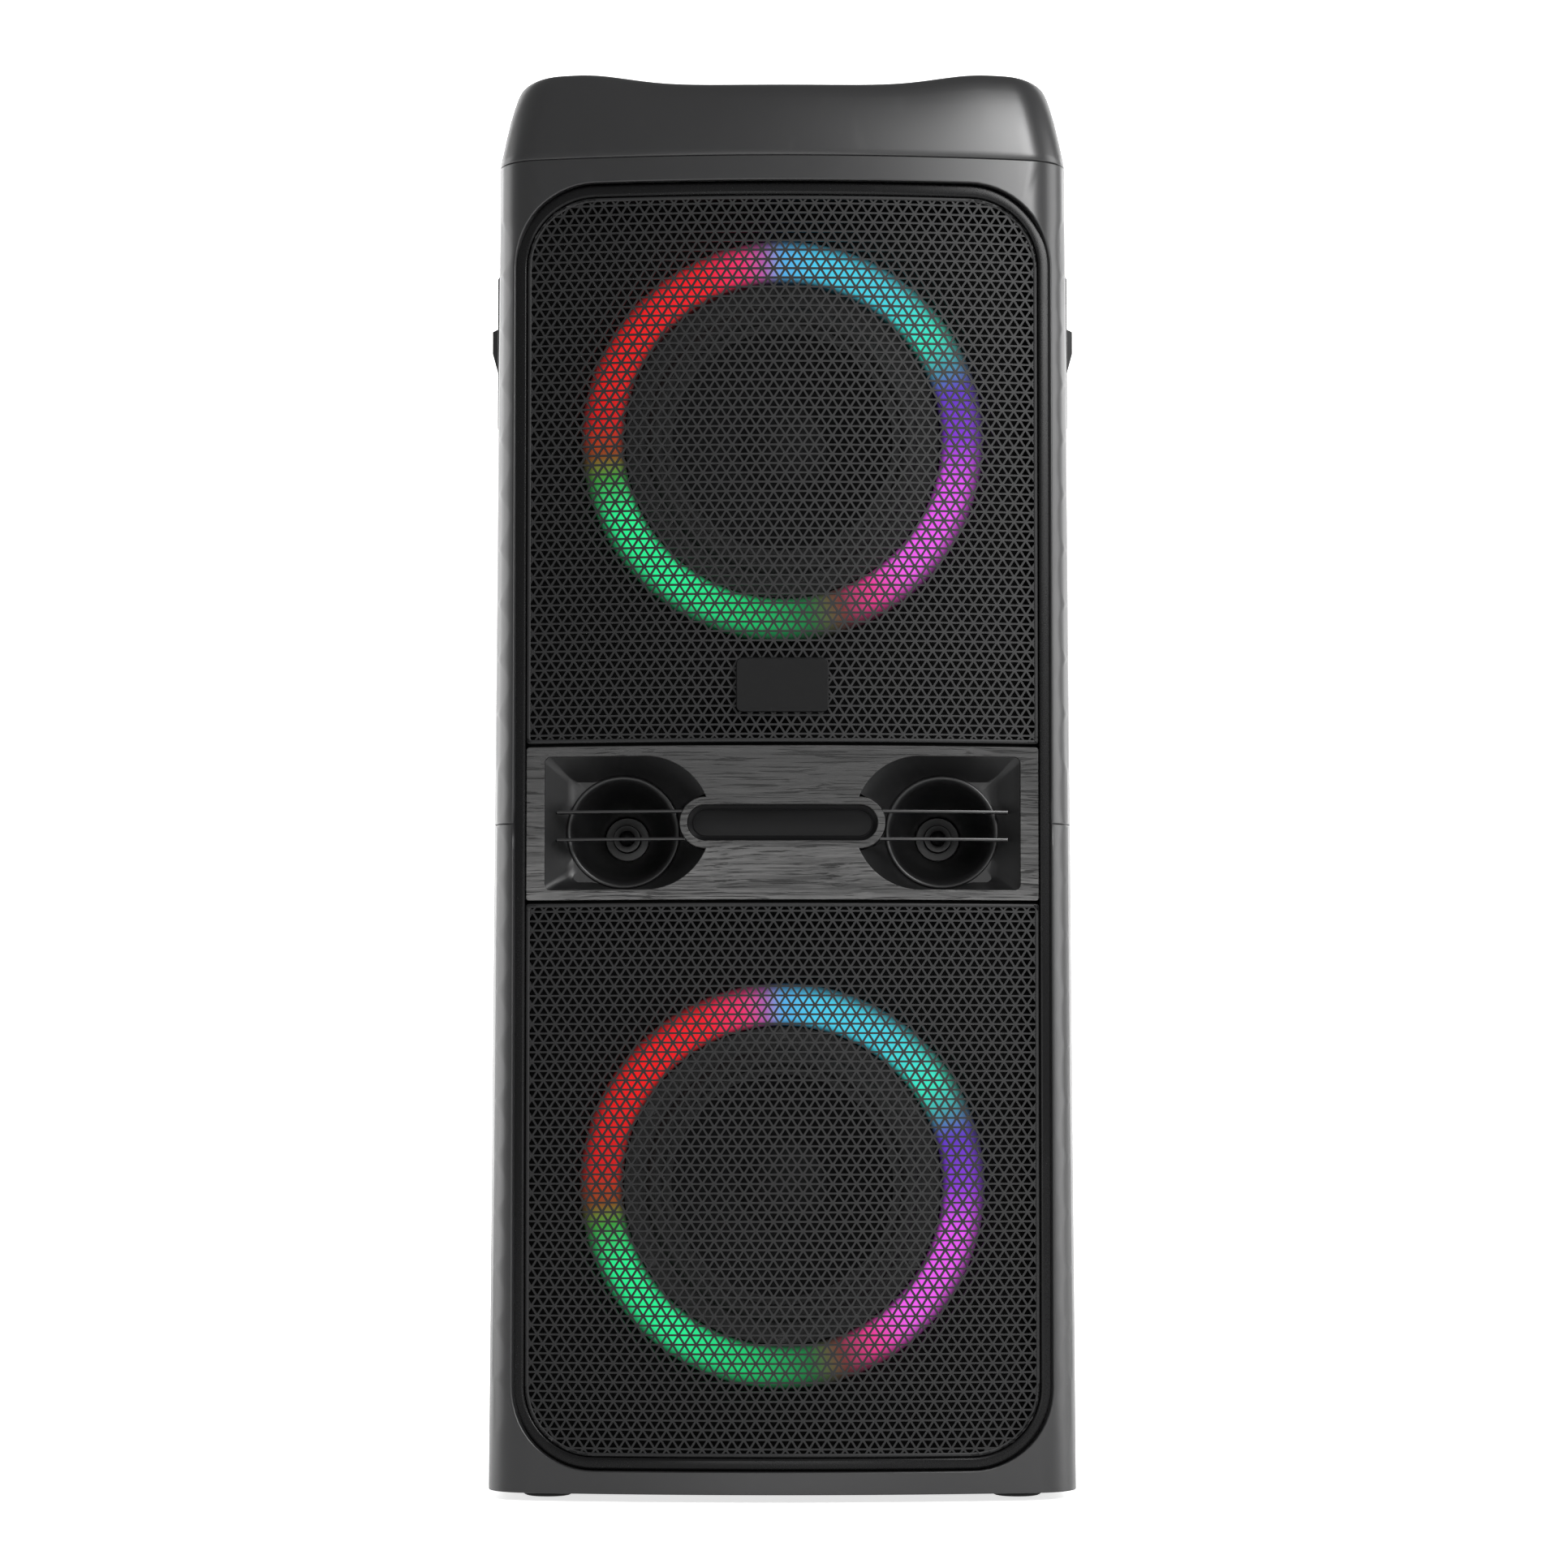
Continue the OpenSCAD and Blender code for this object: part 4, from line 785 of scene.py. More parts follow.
@dataclass
class LippedSheet:
    """A sheet with wall, holes and rounded edges, laid on any surface.

    Attributes:
        place: turns sheet coordinates and a depth below the surface into a point.
        outer: outer loop, drawn in by a given distance.
        holes: hole loops, grown by a given distance.
        wall: thickness.
        edge: radius of the rounded edges.
        wrap: length after which the sheet meets itself, or 0.
        turn_steps: steps of the rounded edges.
    """

    place: Callable[[float, float, float], Point3]
    outer: LoopAt
    holes: list[LoopAt]
    wall: float
    edge: float
    wrap: float = 0.0
    turn_steps: int = 4

    def _seam(self, a: Point2, b: Point2) -> bool:
        """Whether an edge lies on the line where the sheet meets itself."""
        ends = (0.0, self.wrap)
        return self.wrap > 0 and any(max(abs(a[0] - s), abs(b[0] - s)) < 1e-9 for s in ends)

    def build(self, name: str, finish: Finish, inner: Iterable[Point2]) -> bpy.types.Object:
        """Makes the sheet.

        Args:
            name: the piece's name.
            finish: its finish.
            inner: points for its faces to pass through.

        Returns:
            The linked object.
        """
        inner = list(inner)
        points: Ring = []
        faces: Faces = []

        def add_fill(offset: float, depth: float) -> None:
            """Adds one face of the sheet."""
            outline, *holes = loops = [loop_at(offset) for loop_at in (self.outer, *self.holes)]
            clear = [p for p in inner if inside(p, outline) and not any(inside(p, h) for h in holes)
                     and min(math.dist(p, q) for loop in loops for q in loop) > self.edge * 0.7]
            flat, triangles = filled_sheet(outline, holes, clear)
            first = len(points)
            points.extend(self.place(u, v, depth) for u, v in flat)
            faces.extend(tuple(first + i for i in t) for t in triangles)

        add_fill(self.edge, 0.0)
        turns = [math.pi / 2 * i / self.turn_steps for i in range(self.turn_steps + 1)]
        profile = [(self.edge * (1 - math.sin(a)), self.edge * (1 - math.cos(a))) for a in turns]
        profile.append((0.0, self.wall))
        for loop_at in (self.outer, *self.holes):
            loops = [loop_at(offset) for offset, _ in profile]
            count = len(loops[0])
            first = len(points)
            for loop, (_, depth) in zip(loops, profile):
                points.extend(self.place(u, v, depth) for u, v in loop)
            for level in range(len(profile) - 1):
                for i in range(count):
                    j = (i + 1) % count
                    if not self._seam(loops[level][i], loops[level][j]):
                        a, b = first + level * count, first + (level + 1) * count
                        faces.append((a + i, a + j, b + j, b + i))
        add_fill(0.0, self.wall)
        made = make_object(name, points, faces, finish, 0.01 * MM)
        made.data.shade_smooth()
        lines = [loop_at(self.edge) for loop_at in (self.outer, *self.holes)]
        self._true_normals(made, [*lines, inner])
        return made

    def _true_normals(self, made: bpy.types.Object, lines: Sequence[Sequence[Point2]]) -> None:
        """Gives the face of the sheet the surface's own normals.

        Args:
            made: the sheet.
            lines: sheet coordinates of the corners on its face.
        """
        flat = [p for line in lines for p in line]
        tree = KDTree(len(flat))
        normals = []
        for number, (u, v) in enumerate(flat):
            top, below = Vector(self.place(u, v, 0.0)), Vector(self.place(u, v, self.wall))
            tree.insert(top, number)
            normals.append((top - below).normalized())
        tree.balance()
        chosen = []
        for vert in made.data.vertices:
            _, number, gap = tree.find(vert.co)
            chosen.append(normals[number] if gap < 0.00003 else vert.normal.copy())
        made.data.normals_split_custom_set_from_vertices(chosen)


class Stretch(Enum):
    """Stretches of the unrolled outline: first and last corner, and the axis it follows."""

    LEFT = (0, 17, 1)
    FRONT = (17, 89, 0)
    RIGHT = (89, 109, 1)
    REAR = (123, 143, 0)


@dataclass
class Shells:
    """The lower and upper shell, unrolled from a line on the left side.

    Attributes:
        wall: thickness.
        edge: radius of the seams' edges.
        corner: radius of the front opening's corners.
        gap: clearance round the front frame.
        plate: width and height of the socket plate's opening.
        plate_radius: radius of its corners.
        flare: radius of the bass port's opening.
        rows: rows of faces in the height of a shell.
        start: outline corner that the sheet starts from.
        clear: distance kept between the front opening and the next corner of a seam.
        cup_rim: how much smaller a handle's opening is than the handle, along Y and Z.
        cup_radius: radius of that opening's corners.
    """

    wall: float = 4 * MM
    edge: float = 0.7 * MM
    corner: float = 40 * MM
    gap: float = 0.25 * MM
    plate: Point2 = (190.5 * MM, 120.5 * MM)
    plate_radius: float = 8 * MM
    flare: float = 33.25 * MM
    rows: int = 12
    start: int = 129
    clear: float = 4 * MM
    cup_rim: Point2 = (19.5 * MM, 11.5 * MM)
    cup_radius: float = 1 * MM

    def __post_init__(self) -> None:
        """Reads the shells' levels and widths from the frame."""
        self.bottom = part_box("lower_shell")[0].z
        self.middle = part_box("lower_shell")[1].z
        self.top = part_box("upper_shell")[1].z
        loops = [Plan().loop(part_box(node)[1].x) for node in ("lower_shell", "top_cap")]
        self.low_loop, self.high_loop = (loop[self.start:] + loop[:self.start] for loop in loops)
        self.count = len(self.low_loop)
        middle = self.loop_at((self.bottom + self.top) / 2)
        self.along = [0.0]
        for a, b in zip(middle, middle[1:] + middle[:1]):
            self.along.append(self.along[-1] + math.dist(a, b))

    def loop_at(self, z: float) -> Loop:
        """The outline at a height."""
        t = (z - self.bottom) / (self.top - self.bottom)
        return [(ax + (bx - ax) * t, ay + (by - ay) * t)
                for (ax, ay), (bx, by) in zip(self.low_loop, self.high_loop)]

    def point(self, s: float, z: float, depth: float) -> Point3:
        """A point of the shell.

        Args:
            s: distance round the outline.
            z: height.
            depth: distance inwards.

        Returns:
            The point.
        """
        i = min(max(bisect.bisect_right(self.along, s) - 1, 0), self.count - 1)
        t = (s - self.along[i]) / (self.along[i + 1] - self.along[i])
        loop = self.loop_at(z)
        before, a, b, after = (loop[(i + k) % self.count] for k in (-1, 0, 1, 2))
        tx, ty = ((b[k] - before[k]) * (1 - t) + (after[k] - a[k]) * t for k in (0, 1))
        size = math.hypot(tx, ty)
        x, y = (a[k] + (b[k] - a[k]) * t for k in (0, 1))
        return x - ty / size * depth, y + tx / size * depth, z

    def unrolled(self, stretch: Stretch, flat: Iterable[Point2]) -> Loop:
        """Turns points of (X or Y, Z) on a stretch into (distance round the outline, Z)."""
        first, last, axis = stretch.value
        found = []
        for value, z in flat:
            loop = self.loop_at(z)
            for i in range(first, last):
                a, b = loop[i][axis], loop[i + 1][axis]
                if a != b and min(a, b) <= value <= max(a, b):
                    length = self.along[i + 1] - self.along[i]
                    found.append((self.along[i] + (value - a) / (b - a) * length, z))
                    break
            else:
                raise ValueError(f"nothing at {value} on {stretch.name}")
        return found

    def notch(self, offset: float, seam: float, below: bool) -> Loop:
        """Edge of the front opening's lower or upper half, grown by an offset.

        Args:
            offset: how much it is grown.
            seam: height of the line where it ends.
            below: whether it is the lower half.

        Returns:
            The open line, from left to right below and from right to left above.
        """
        low, high, _ = size_of("bezel_frame")
        half, radius, side = high.x + self.gap + offset, self.corner + offset, -1 if below else 1
        end = low.z - self.gap - offset if below else high.z + self.gap + offset
        level = end - side * radius
        start = -180 if below else 0
        rise = [(side * half, seam + (level - seam) * k / 20) for k in range(20)]
        first = arc(side * (half - radius), level, radius, start, start + 90, 14)
        second = arc(-side * (half - radius), level, radius, start + 90, start + 180, 14)
        fall = [(-x, z) for x, z in reversed(rise)]
        flat = [*rise, *first, *straight(first[-1], second[0], 36), *second, *fall]
        return self.unrolled(Stretch.FRONT, flat)

    def outline(self, offset: float, low: float, high: float, below: bool) -> Loop:
        """Outline of an unrolled shell: a strip with half of the front opening cut out of a long side.

        Args:
            offset: how much it is drawn in.
            low: height of the shell's lower edge.
            high: height of its upper edge.
            below: whether it is the lower shell.

        Returns:
            The loop.
        """
        z0, z1 = low + offset, high - offset
        seam, far = (z1, z0) if below else (z0, z1)
        end = self.along[-1]
        cut = self.notch(offset, seam, below)
        plain = self.notch(0.0, seam, below)
        start, stop = sorted((plain[0][0], plain[-1][0]))
        along = self.along if below else self.along[::-1]
        left = [s for s in along[1:-1] if s < start - self.clear]
        right = [s for s in along[1:-1] if s > stop + self.clear]
        before, after = (left, right) if below else (right, left)
        sides = [k / self.rows for k in range(1, self.rows)]
        first, last = (0.0, end) if below else (end, 0.0)
        return [(first, seam), *[(s, seam) for s in before], *cut, *[(s, seam) for s in after], (last, seam),
                *[(last, seam + (far - seam) * t) for t in sides], *[(s, far) for s in along[::-1]],
                *[(first, far + (seam - far) * t) for t in sides]]

    def holes(self) -> dict[str, list[LoopAt]]:
        """The loops of the handles' openings, the socket plate's and the bass port's."""
        low, high, handle = size_of("left_handle")
        cup = ((high.y - low.y) - self.cup_rim[0], (high.z - low.z) - self.cup_rim[1])
        _, _, plate = size_of("rear_panel")
        _, _, port = size_of("port_tube")

        def box(stretch: Stretch, u: float, z: float, size: Point2, radius: float) -> LoopAt:
            """A rounded rectangle on a stretch."""
            return lambda o: self.unrolled(
                stretch, rounded_loop(u, z, size[0] + 2 * o, size[1] + 2 * o, radius + o))
        return {
            "upper_shell": [box(Stretch.LEFT, handle.y, handle.z, cup, self.cup_radius),
                            box(Stretch.RIGHT, handle.y, handle.z, cup, self.cup_radius),
                            box(Stretch.REAR, 0, plate.z, self.plate, self.plate_radius)],
            "lower_shell": [lambda o: self.unrolled(Stretch.REAR, circle(0, port.z, self.flare + o, 72))],
        }

    def build(self) -> None:
        """Makes both shells."""
        levels = (self.bottom, self.middle, self.top)
        for name, low, high in zip(("lower_shell", "upper_shell"), levels, levels[1:]):
            def outer(offset: float, span: Point2 = (low, high),
                      below: bool = name == "lower_shell") -> Loop:
                """The shell's outline, drawn in by an offset."""
                return self.outline(offset, *span, below)
            sheet = LippedSheet(self.point, outer, self.holes()[name], self.wall, self.edge, self.along[-1])
            inner = [(s, low + (high - low) * k / self.rows)
                     for s in self.along[1:-1] for k in range(1, self.rows)]
            finish_piece(sheet.build(f"{name}_moulding", Finish.SHELL, inner), CABINET, "shell", name)


@dataclass
class Cap:
    """The cap with its raised shoulders and the tray for the controls.

    Attributes:
        sections: rings of the side: height below the top, then how far side, front and rear draw in.
        hump: height of the shoulders above the valley.
        hump_x: where the shoulders reach their height.
        hump_width: how fast they rise from the valley.
        valley: drop of the valley below the top.
        fall: distance over which the shoulders fall again towards the sides.
        shoulder: drop of the shoulder's edge below the crest.
        droop: how far the shoulders have fallen after that distance.
        wall: thickness.
        inside: the inner wall's upper and lower ring, in the form of the sections.
        tray_radius: radius of the tray's corners.
        tray_gap: clearance between the deck and the tray's wall.
        tray_floor: thickness of the ledge under the deck.
        ledge: how far the ledge reaches under the deck.
        lip: radius of the tray's rounded lip.
        crown_steps: rings between the side and the tray.
    """

    sections: tuple[tuple[float, float, float, float], ...] = (
        (46.0, 0.9, 0.7, 0.7), (45.7, 0.25, 0.2, 0.2), (45.2, 0, 0, 0), (42, 0.45, 0.2, 0.2),
        (38.4, 1.1, 0.6, 0.5), (32.4, 2.2, 1.3, 1.0), (26.5, 3.4, 2.3, 1.8), (20.5, 4.7, 3.5, 2.9),
        (14.5, 6.4, 5.0, 4.2),
        (10.5, 7.7, 6.4, 5.6), (7.8, 8.8, 7.8, 7.0), (6.4, 9.6, 8.9, 8.0), (5.9, 10.1, 9.7, 8.6))
    hump: float = 6.5 * MM
    hump_x: float = 101 * MM
    hump_width: float = 33 * MM
    valley: float = 6.5 * MM
    fall: float = 31 * MM
    shoulder: float = 2.6 * MM
    droop: float = 4.9 * MM
    wall: float = 4 * MM
    inside: tuple[tuple[float, float, float, float], ...] = ((26.5, 3.4, 3.5, 1.8), (46.0, 0.9, 0.7, 0.7))
    tray_radius: float = 18.3 * MM
    tray_gap: float = 0.25 * MM
    tray_floor: float = 3 * MM
    ledge: float = 5 * MM
    lip: float = 1.2 * MM
    crown_steps: int = 16

    def crest(self, x: float) -> float:
        """Height of the crest at an X."""
        over = max(0.0, self.hump_x - abs(x)) / self.hump_width
        past = max(0.0, abs(x) - self.hump_x) / self.fall
        return CAD_BOX[1].z - self.valley + self.hump * math.exp(-over * over) - self.droop * past ** 3

    def lifted(self, x: float, z: float) -> float:
        """Height of a point of the side once the crest's rise is spread over the cap's height."""
        low = CAD_BOX[1].z - self.sections[0][0] * MM
        high = CAD_BOX[1].z - self.sections[-1][0] * MM
        return low + (z - low) * (self.crest(x) - self.shoulder - low) / (high - low)

    def tray_point(self, point: Point2, centre: Point2, grow: float) -> Point2:
        """Where a ray from the tray's middle through a point leaves the tray, grown by a distance."""
        low, high, _ = size_of("control_deck")
        half = Vector(((high.x - low.x) / 2 + grow, (high.y - low.y) / 2 + grow))
        radius = self.tray_radius + grow
        way = (Vector(point) - Vector(centre)).normalized()
        near, far = 0.0, 300 * MM
        for _ in range(30):
            reach = (near + far) / 2
            p = way * reach
            over = Vector((max(abs(p.x) - half.x + radius, 0), max(abs(p.y) - half.y + radius, 0)))
            clear = over.length <= radius and abs(p.x) <= half.x and abs(p.y) <= half.y
            near, far = (reach, far) if clear else (near, reach)
        return centre[0] + way.x * near, centre[1] + way.y * near

    def build(self) -> None:
        """Makes the cap."""
        top, half = CAD_BOX[1].z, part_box("top_cap")[1].x
        deck_low, deck_high, middle = size_of("control_deck")
        centre = (middle.x, middle.y)
        plan = Plan()

        def ring(drop: float, side: float, lean: float, rear: float, inset: float = 0.0) -> Ring:
            """One ring of the side, from a row of the sections."""
            loop = plan.loop(half - (side * MM + inset), lean * MM + inset, rear * MM + inset, 64, 14, 24)
            return [(x, y, top - drop * MM) for x, y in loop]
        rings = [[(x, y, self.lifted(x, z)) for x, y, z in ring(*section)] for section in self.sections]
        edge = rings[-1]
        inner = [self.tray_point((x, y), centre, self.lip) for x, y, _ in edge]
        for step in range(1, self.crown_steps + 1):
            t = step / self.crown_steps
            slide = t ** 1.9
            ease = 1 - (1 - min(1.0, slide * 2.2)) ** 3
            rings.append([(x + (u - x) * slide, y + (v - y) * slide,
                           z + (self.crest(x + (u - x) * slide) - z) * ease)
                          for (x, y, z), (u, v) in zip(edge, inner)])
        for turn in (20, 45, 70, 90):
            sine = math.sin(math.radians(turn))
            grow = self.lip * (1 - sine) + self.tray_gap
            rings.append([(*self.tray_point((x, y), centre, grow), self.crest(u) - self.lip * sine ** 2)
                          for (x, y, _), (u, _v) in zip(edge, inner)])
        under = deck_low.z - self.tray_floor
        for grow, z in ((self.tray_gap, deck_high.z + 2 * MM), (self.tray_gap, deck_low.z),
                        (-self.ledge, deck_low.z), (-self.ledge, under), (6 * MM, under)):
            rings.append([(*self.tray_point((x, y), centre, grow), z) for x, y, _ in edge])
        rings += [ring(*section, self.wall) for section in self.inside]
        rings.append(rings[0])
        made = make_object("top_cap_moulding", *loft(rings), Finish.SHELL)
        shade(made, 62.0)
        finish_piece(made, CABINET, "shell", "top_cap")


@dataclass
class Feet:
    """The four rubber feet and the base plate.

    Attributes:
        profile: outline of a foot as (radius, height) in millimetres.
        radius: a foot's radius.
        steps: steps round a foot.
    """

    profile: tuple[Point2, ...] = ((0, 0), (7, 0), (9.4, 0.15), (10.5, 0.35), (11.6, 0.9), (12.5, 1.7),
                                   (12.9, 2.6), (13, 3.4), (13, 4.0), (0, 4.0))
    radius: float = 13 * MM
    steps: int = 48

    def build(self) -> None:
        """Makes the feet as one piece."""
        low, high, _ = size_of("feet")
        parts = []
        for x in (low.x + self.radius, high.x - self.radius):
            for y in (low.y + self.radius, high.y - self.radius):
                rings = [[(x + px, y + py, z * MM) for px, py in circle(0, 0, r * MM, self.steps)]
                         for r, z in self.profile]
                parts.append(make_object("foot", *loft(rings), Finish.RUBBER))
        feet = join("rubber_feet", parts)
        shade(feet)
        finish_piece(feet, CABINET, "rubber", "feet")
        base = refined_copy("base_plate", "base_plate_moulding", Finish.SHELL, 0.5 * MM)
        finish_piece(base, CABINET, "shell", "base_plate")


# --- Front ---

def drum_rings(loop_at: LoopAt, profile: Iterable[Point2]) -> list[Ring]:
    """Rings of a part that follows the bulge.

    Args:
        loop_at: gives the loop for an offset.
        profile: (offset, set-back) pairs.

    Returns:
        The rings.
    """
    return [[(x, BULGE.y(x, back), z) for x, z in loop_at(offset)] for offset, back in profile]


@dataclass
class FrontFrame:
    """The glossy frame round the front.

    Attributes:
        radius: radius of its outer corners.
        profile: (offset from the outer edge, set-back) pairs of its section, in millimetres.
    """

    radius: float = 39.75 * MM
    profile: tuple[Point2, ...] = (
        (0, 16), (0, 5.2), (-0.1, 4.7), (-0.35, 4.35), (-0.75, 4.12), (-1.3, 4.03), (-3.0, 4.0),
        (-4.6, 4.02), (-5.2, 4.12), (-5.6, 4.35), (-5.85, 4.7), (-5.95, 5.2), (-5.95, 16), (0, 16))

    def build(self) -> None:
        """Makes the frame."""
        low, high, middle = size_of("bezel_frame")
        width, height = high.x - low.x, high.z - low.z

        def loop(offset: float) -> Loop:
            """The outline, grown by an offset in millimetres."""
            grow = offset * MM
            return rounded_loop(0, middle.z, width + 2 * grow, height + 2 * grow, self.radius + grow,
                                steps=16)
        rings = drum_rings(loop, [(offset, back * MM) for offset, back in self.profile])
        made = make_object("front_frame_moulding", *loft(rings), Finish.FRAME)
        shade(made, 40.0)
        finish_piece(made, CABINET, "gloss_black", "bezel_frame")


class GrilleTree(ShaderTree):
    """The Geometry Nodes tree of a sheet with rows of triangular holes, bent to the bulge."""

    INPUTS = ("Half Width", "Half Height", "Corner Radius", "Square Radius", "Node Pitch", "Row Pitch",
              "Hole Share", "Middle Z", "Side", "Drum Radius", "Drum Centre")

    def __init__(self) -> None:
        """Builds the tree."""
        self.group = bpy.data.node_groups.new("perforated_sheet", "GeometryNodeTree")
        self.nodes, self.links = self.group.nodes, self.group.links
        self.group.interface.new_socket("Geometry", in_out="OUTPUT", socket_type="NodeSocketGeometry")
        for name in self.INPUTS:
            self.group.interface.new_socket(name, in_out="INPUT", socket_type="NodeSocketFloat")
        entry = self.nodes.new("NodeGroupInput")
        self.value = {name: Shade(self, entry.outputs[name]) for name in self.INPUTS}
        output = self.nodes.new("NodeGroupOutput")
        self.links.new(self._sheet().socket, output.inputs[0])

    def _where(self) -> tuple[Shade, Shade, Shade]:
        """X, Y and Z of each point."""
        return self.split(self.node("GeometryNodeInputPosition"))

    def _move(self, geometry: Shade, x: Shade | float, y: Shade | float, z: Shade | float) -> Shade:
        """Sets every point's place."""
        place = self.node("ShaderNodeCombineXYZ", inputs={0: x, 1: y, 2: z})
        return self.node("GeometryNodeSetPosition", inputs={"Geometry": geometry, "Position": place})

    def _pick(self, switch: Shade, no: Shade | float, yes: Shade | float) -> Shade:
        """One of two values."""
        inputs = {"Switch": switch, "False": no, "True": yes}
        return self.node("GeometryNodeSwitch", {"input_type": "FLOAT"}, inputs)

    def _over(self, a: Shade, b: Shade | float, operation: str = "GREATER_THAN") -> Shade:
        """Whether a value is larger than another, or what else the operation says."""
        return self.node("FunctionNodeCompare", {"data_type": "FLOAT", "operation": operation}, {0: a, 1: b})

    def _held(self, value: Shade, limit: Shade) -> Shade:
        """A value held between a limit's negative and the limit."""
        return value._math("MAXIMUM", limit * -1)._math("MINIMUM", limit)

    def _delete(self, geometry: Shade, chosen: Shade, mode: str = "ALL") -> Shade:
        """Deletes the chosen faces."""
        return self.node("GeometryNodeDeleteGeometry", {"domain": "FACE", "mode": mode},
                         {"Geometry": geometry, "Selection": chosen})

    def _sheet(self) -> Shade:
        """The sheet: lattice, holes, trimmed border and bend."""
        v = self.value
        half_x, half_y, pitch, row_pitch = (v[name] for name in (
            "Half Width", "Half Height", "Node Pitch", "Row Pitch"))
        columns = (2 * half_x / pitch + 4)._math("CEIL")
        rows = (2 * half_y / row_pitch + 3)._math("CEIL")
        lattice = self.node("GeometryNodeMeshGrid", inputs={
            "Size X": (columns - 1) * pitch, "Size Y": (rows - 1) * row_pitch,
            "Vertices X": columns, "Vertices Y": rows})
        x, y, _ = self._where()
        row = ((y / row_pitch) + rows * 0.5 + 0.25)._math("FLOOR")
        odd = row._math("FLOORED_MODULO", 2.0)
        sheared = self._move(lattice, x + (odd - 0.5) * pitch * 0.5, y, 0.0)
        split = self.node("GeometryNodeTriangulate", {"quad_method": "SHORTEST_DIAGONAL"}, {"Mesh": sheared})
        x, y, _ = self._where()
        past_x = self._over(x._math("ABSOLUTE"), half_x + 2 * MM)
        past_y = self._over(y._math("ABSOLUTE"), half_y + 2 * MM)
        kept = self._delete(split, past_x._math("MAXIMUM", past_y))
        cut = self.node("GeometryNodeExtrudeMesh", {"mode": "FACES"},
                        {"Mesh": kept, "Offset Scale": 0.0, "Individual": True})
        tops = Shade(self, cut.socket.node.outputs["Top"])
        shrunk = self.node("GeometryNodeScaleElements", {"domain": "FACE"},
                           {"Geometry": cut, "Selection": tops, "Scale": v["Hole Share"]})
        pierced = self._delete(shrunk, tops, "ONLY_FACE")
        x, y, _ = self._where()
        flat_x, flat_y = self._held(x, half_x), self._held(y, half_y)
        radius = self._pick(self._over(flat_y * v["Side"], 0.0), v["Square Radius"], v["Corner Radius"])
        dx = flat_x._math("ABSOLUTE") - (half_x - radius)
        dy = flat_y._math("ABSOLUTE") - (half_y - radius)
        length = dx.length_with(dy)
        both = self._over(dx, 0.0)._math("MULTIPLY", self._over(dy, 0.0))
        outside = self._over(both._math("MULTIPLY", self._over(length, radius)), 0.5)
        pull = self._pick(outside, 1.0, radius / length)
        trim_x = self._pick(outside, flat_x, flat_x._math("SIGN") * (half_x - radius + dx * pull))
        trim_y = self._pick(outside, flat_y, flat_y._math("SIGN") * (half_y - radius + dy * pull))
        trimmed = self._move(pierced, trim_x, trim_y, 0.0)
        inputs = {"Geometry": trimmed, "Distance": 0.04 * MM}
        merged = self.node("GeometryNodeMergeByDistance", inputs=inputs)
        area = self.node("GeometryNodeInputMeshFaceArea")
        clean = self._delete(merged, self._over(area, 0.01 * MM * MM, "LESS_THAN"))
        x, y, _ = self._where()
        depth = v["Drum Centre"] - (v["Drum Radius"] * v["Drum Radius"] - x * x)._math("SQRT")
        bent = self._move(clean, x, depth, y + v["Middle Z"])
        real = self.node("GeometryNodeRealizeInstances", inputs={"Geometry": bent})
        inputs = {"Geometry": real, "Material": Finish.GRILLE.material}
        return self.node("GeometryNodeSetMaterial", inputs=inputs)


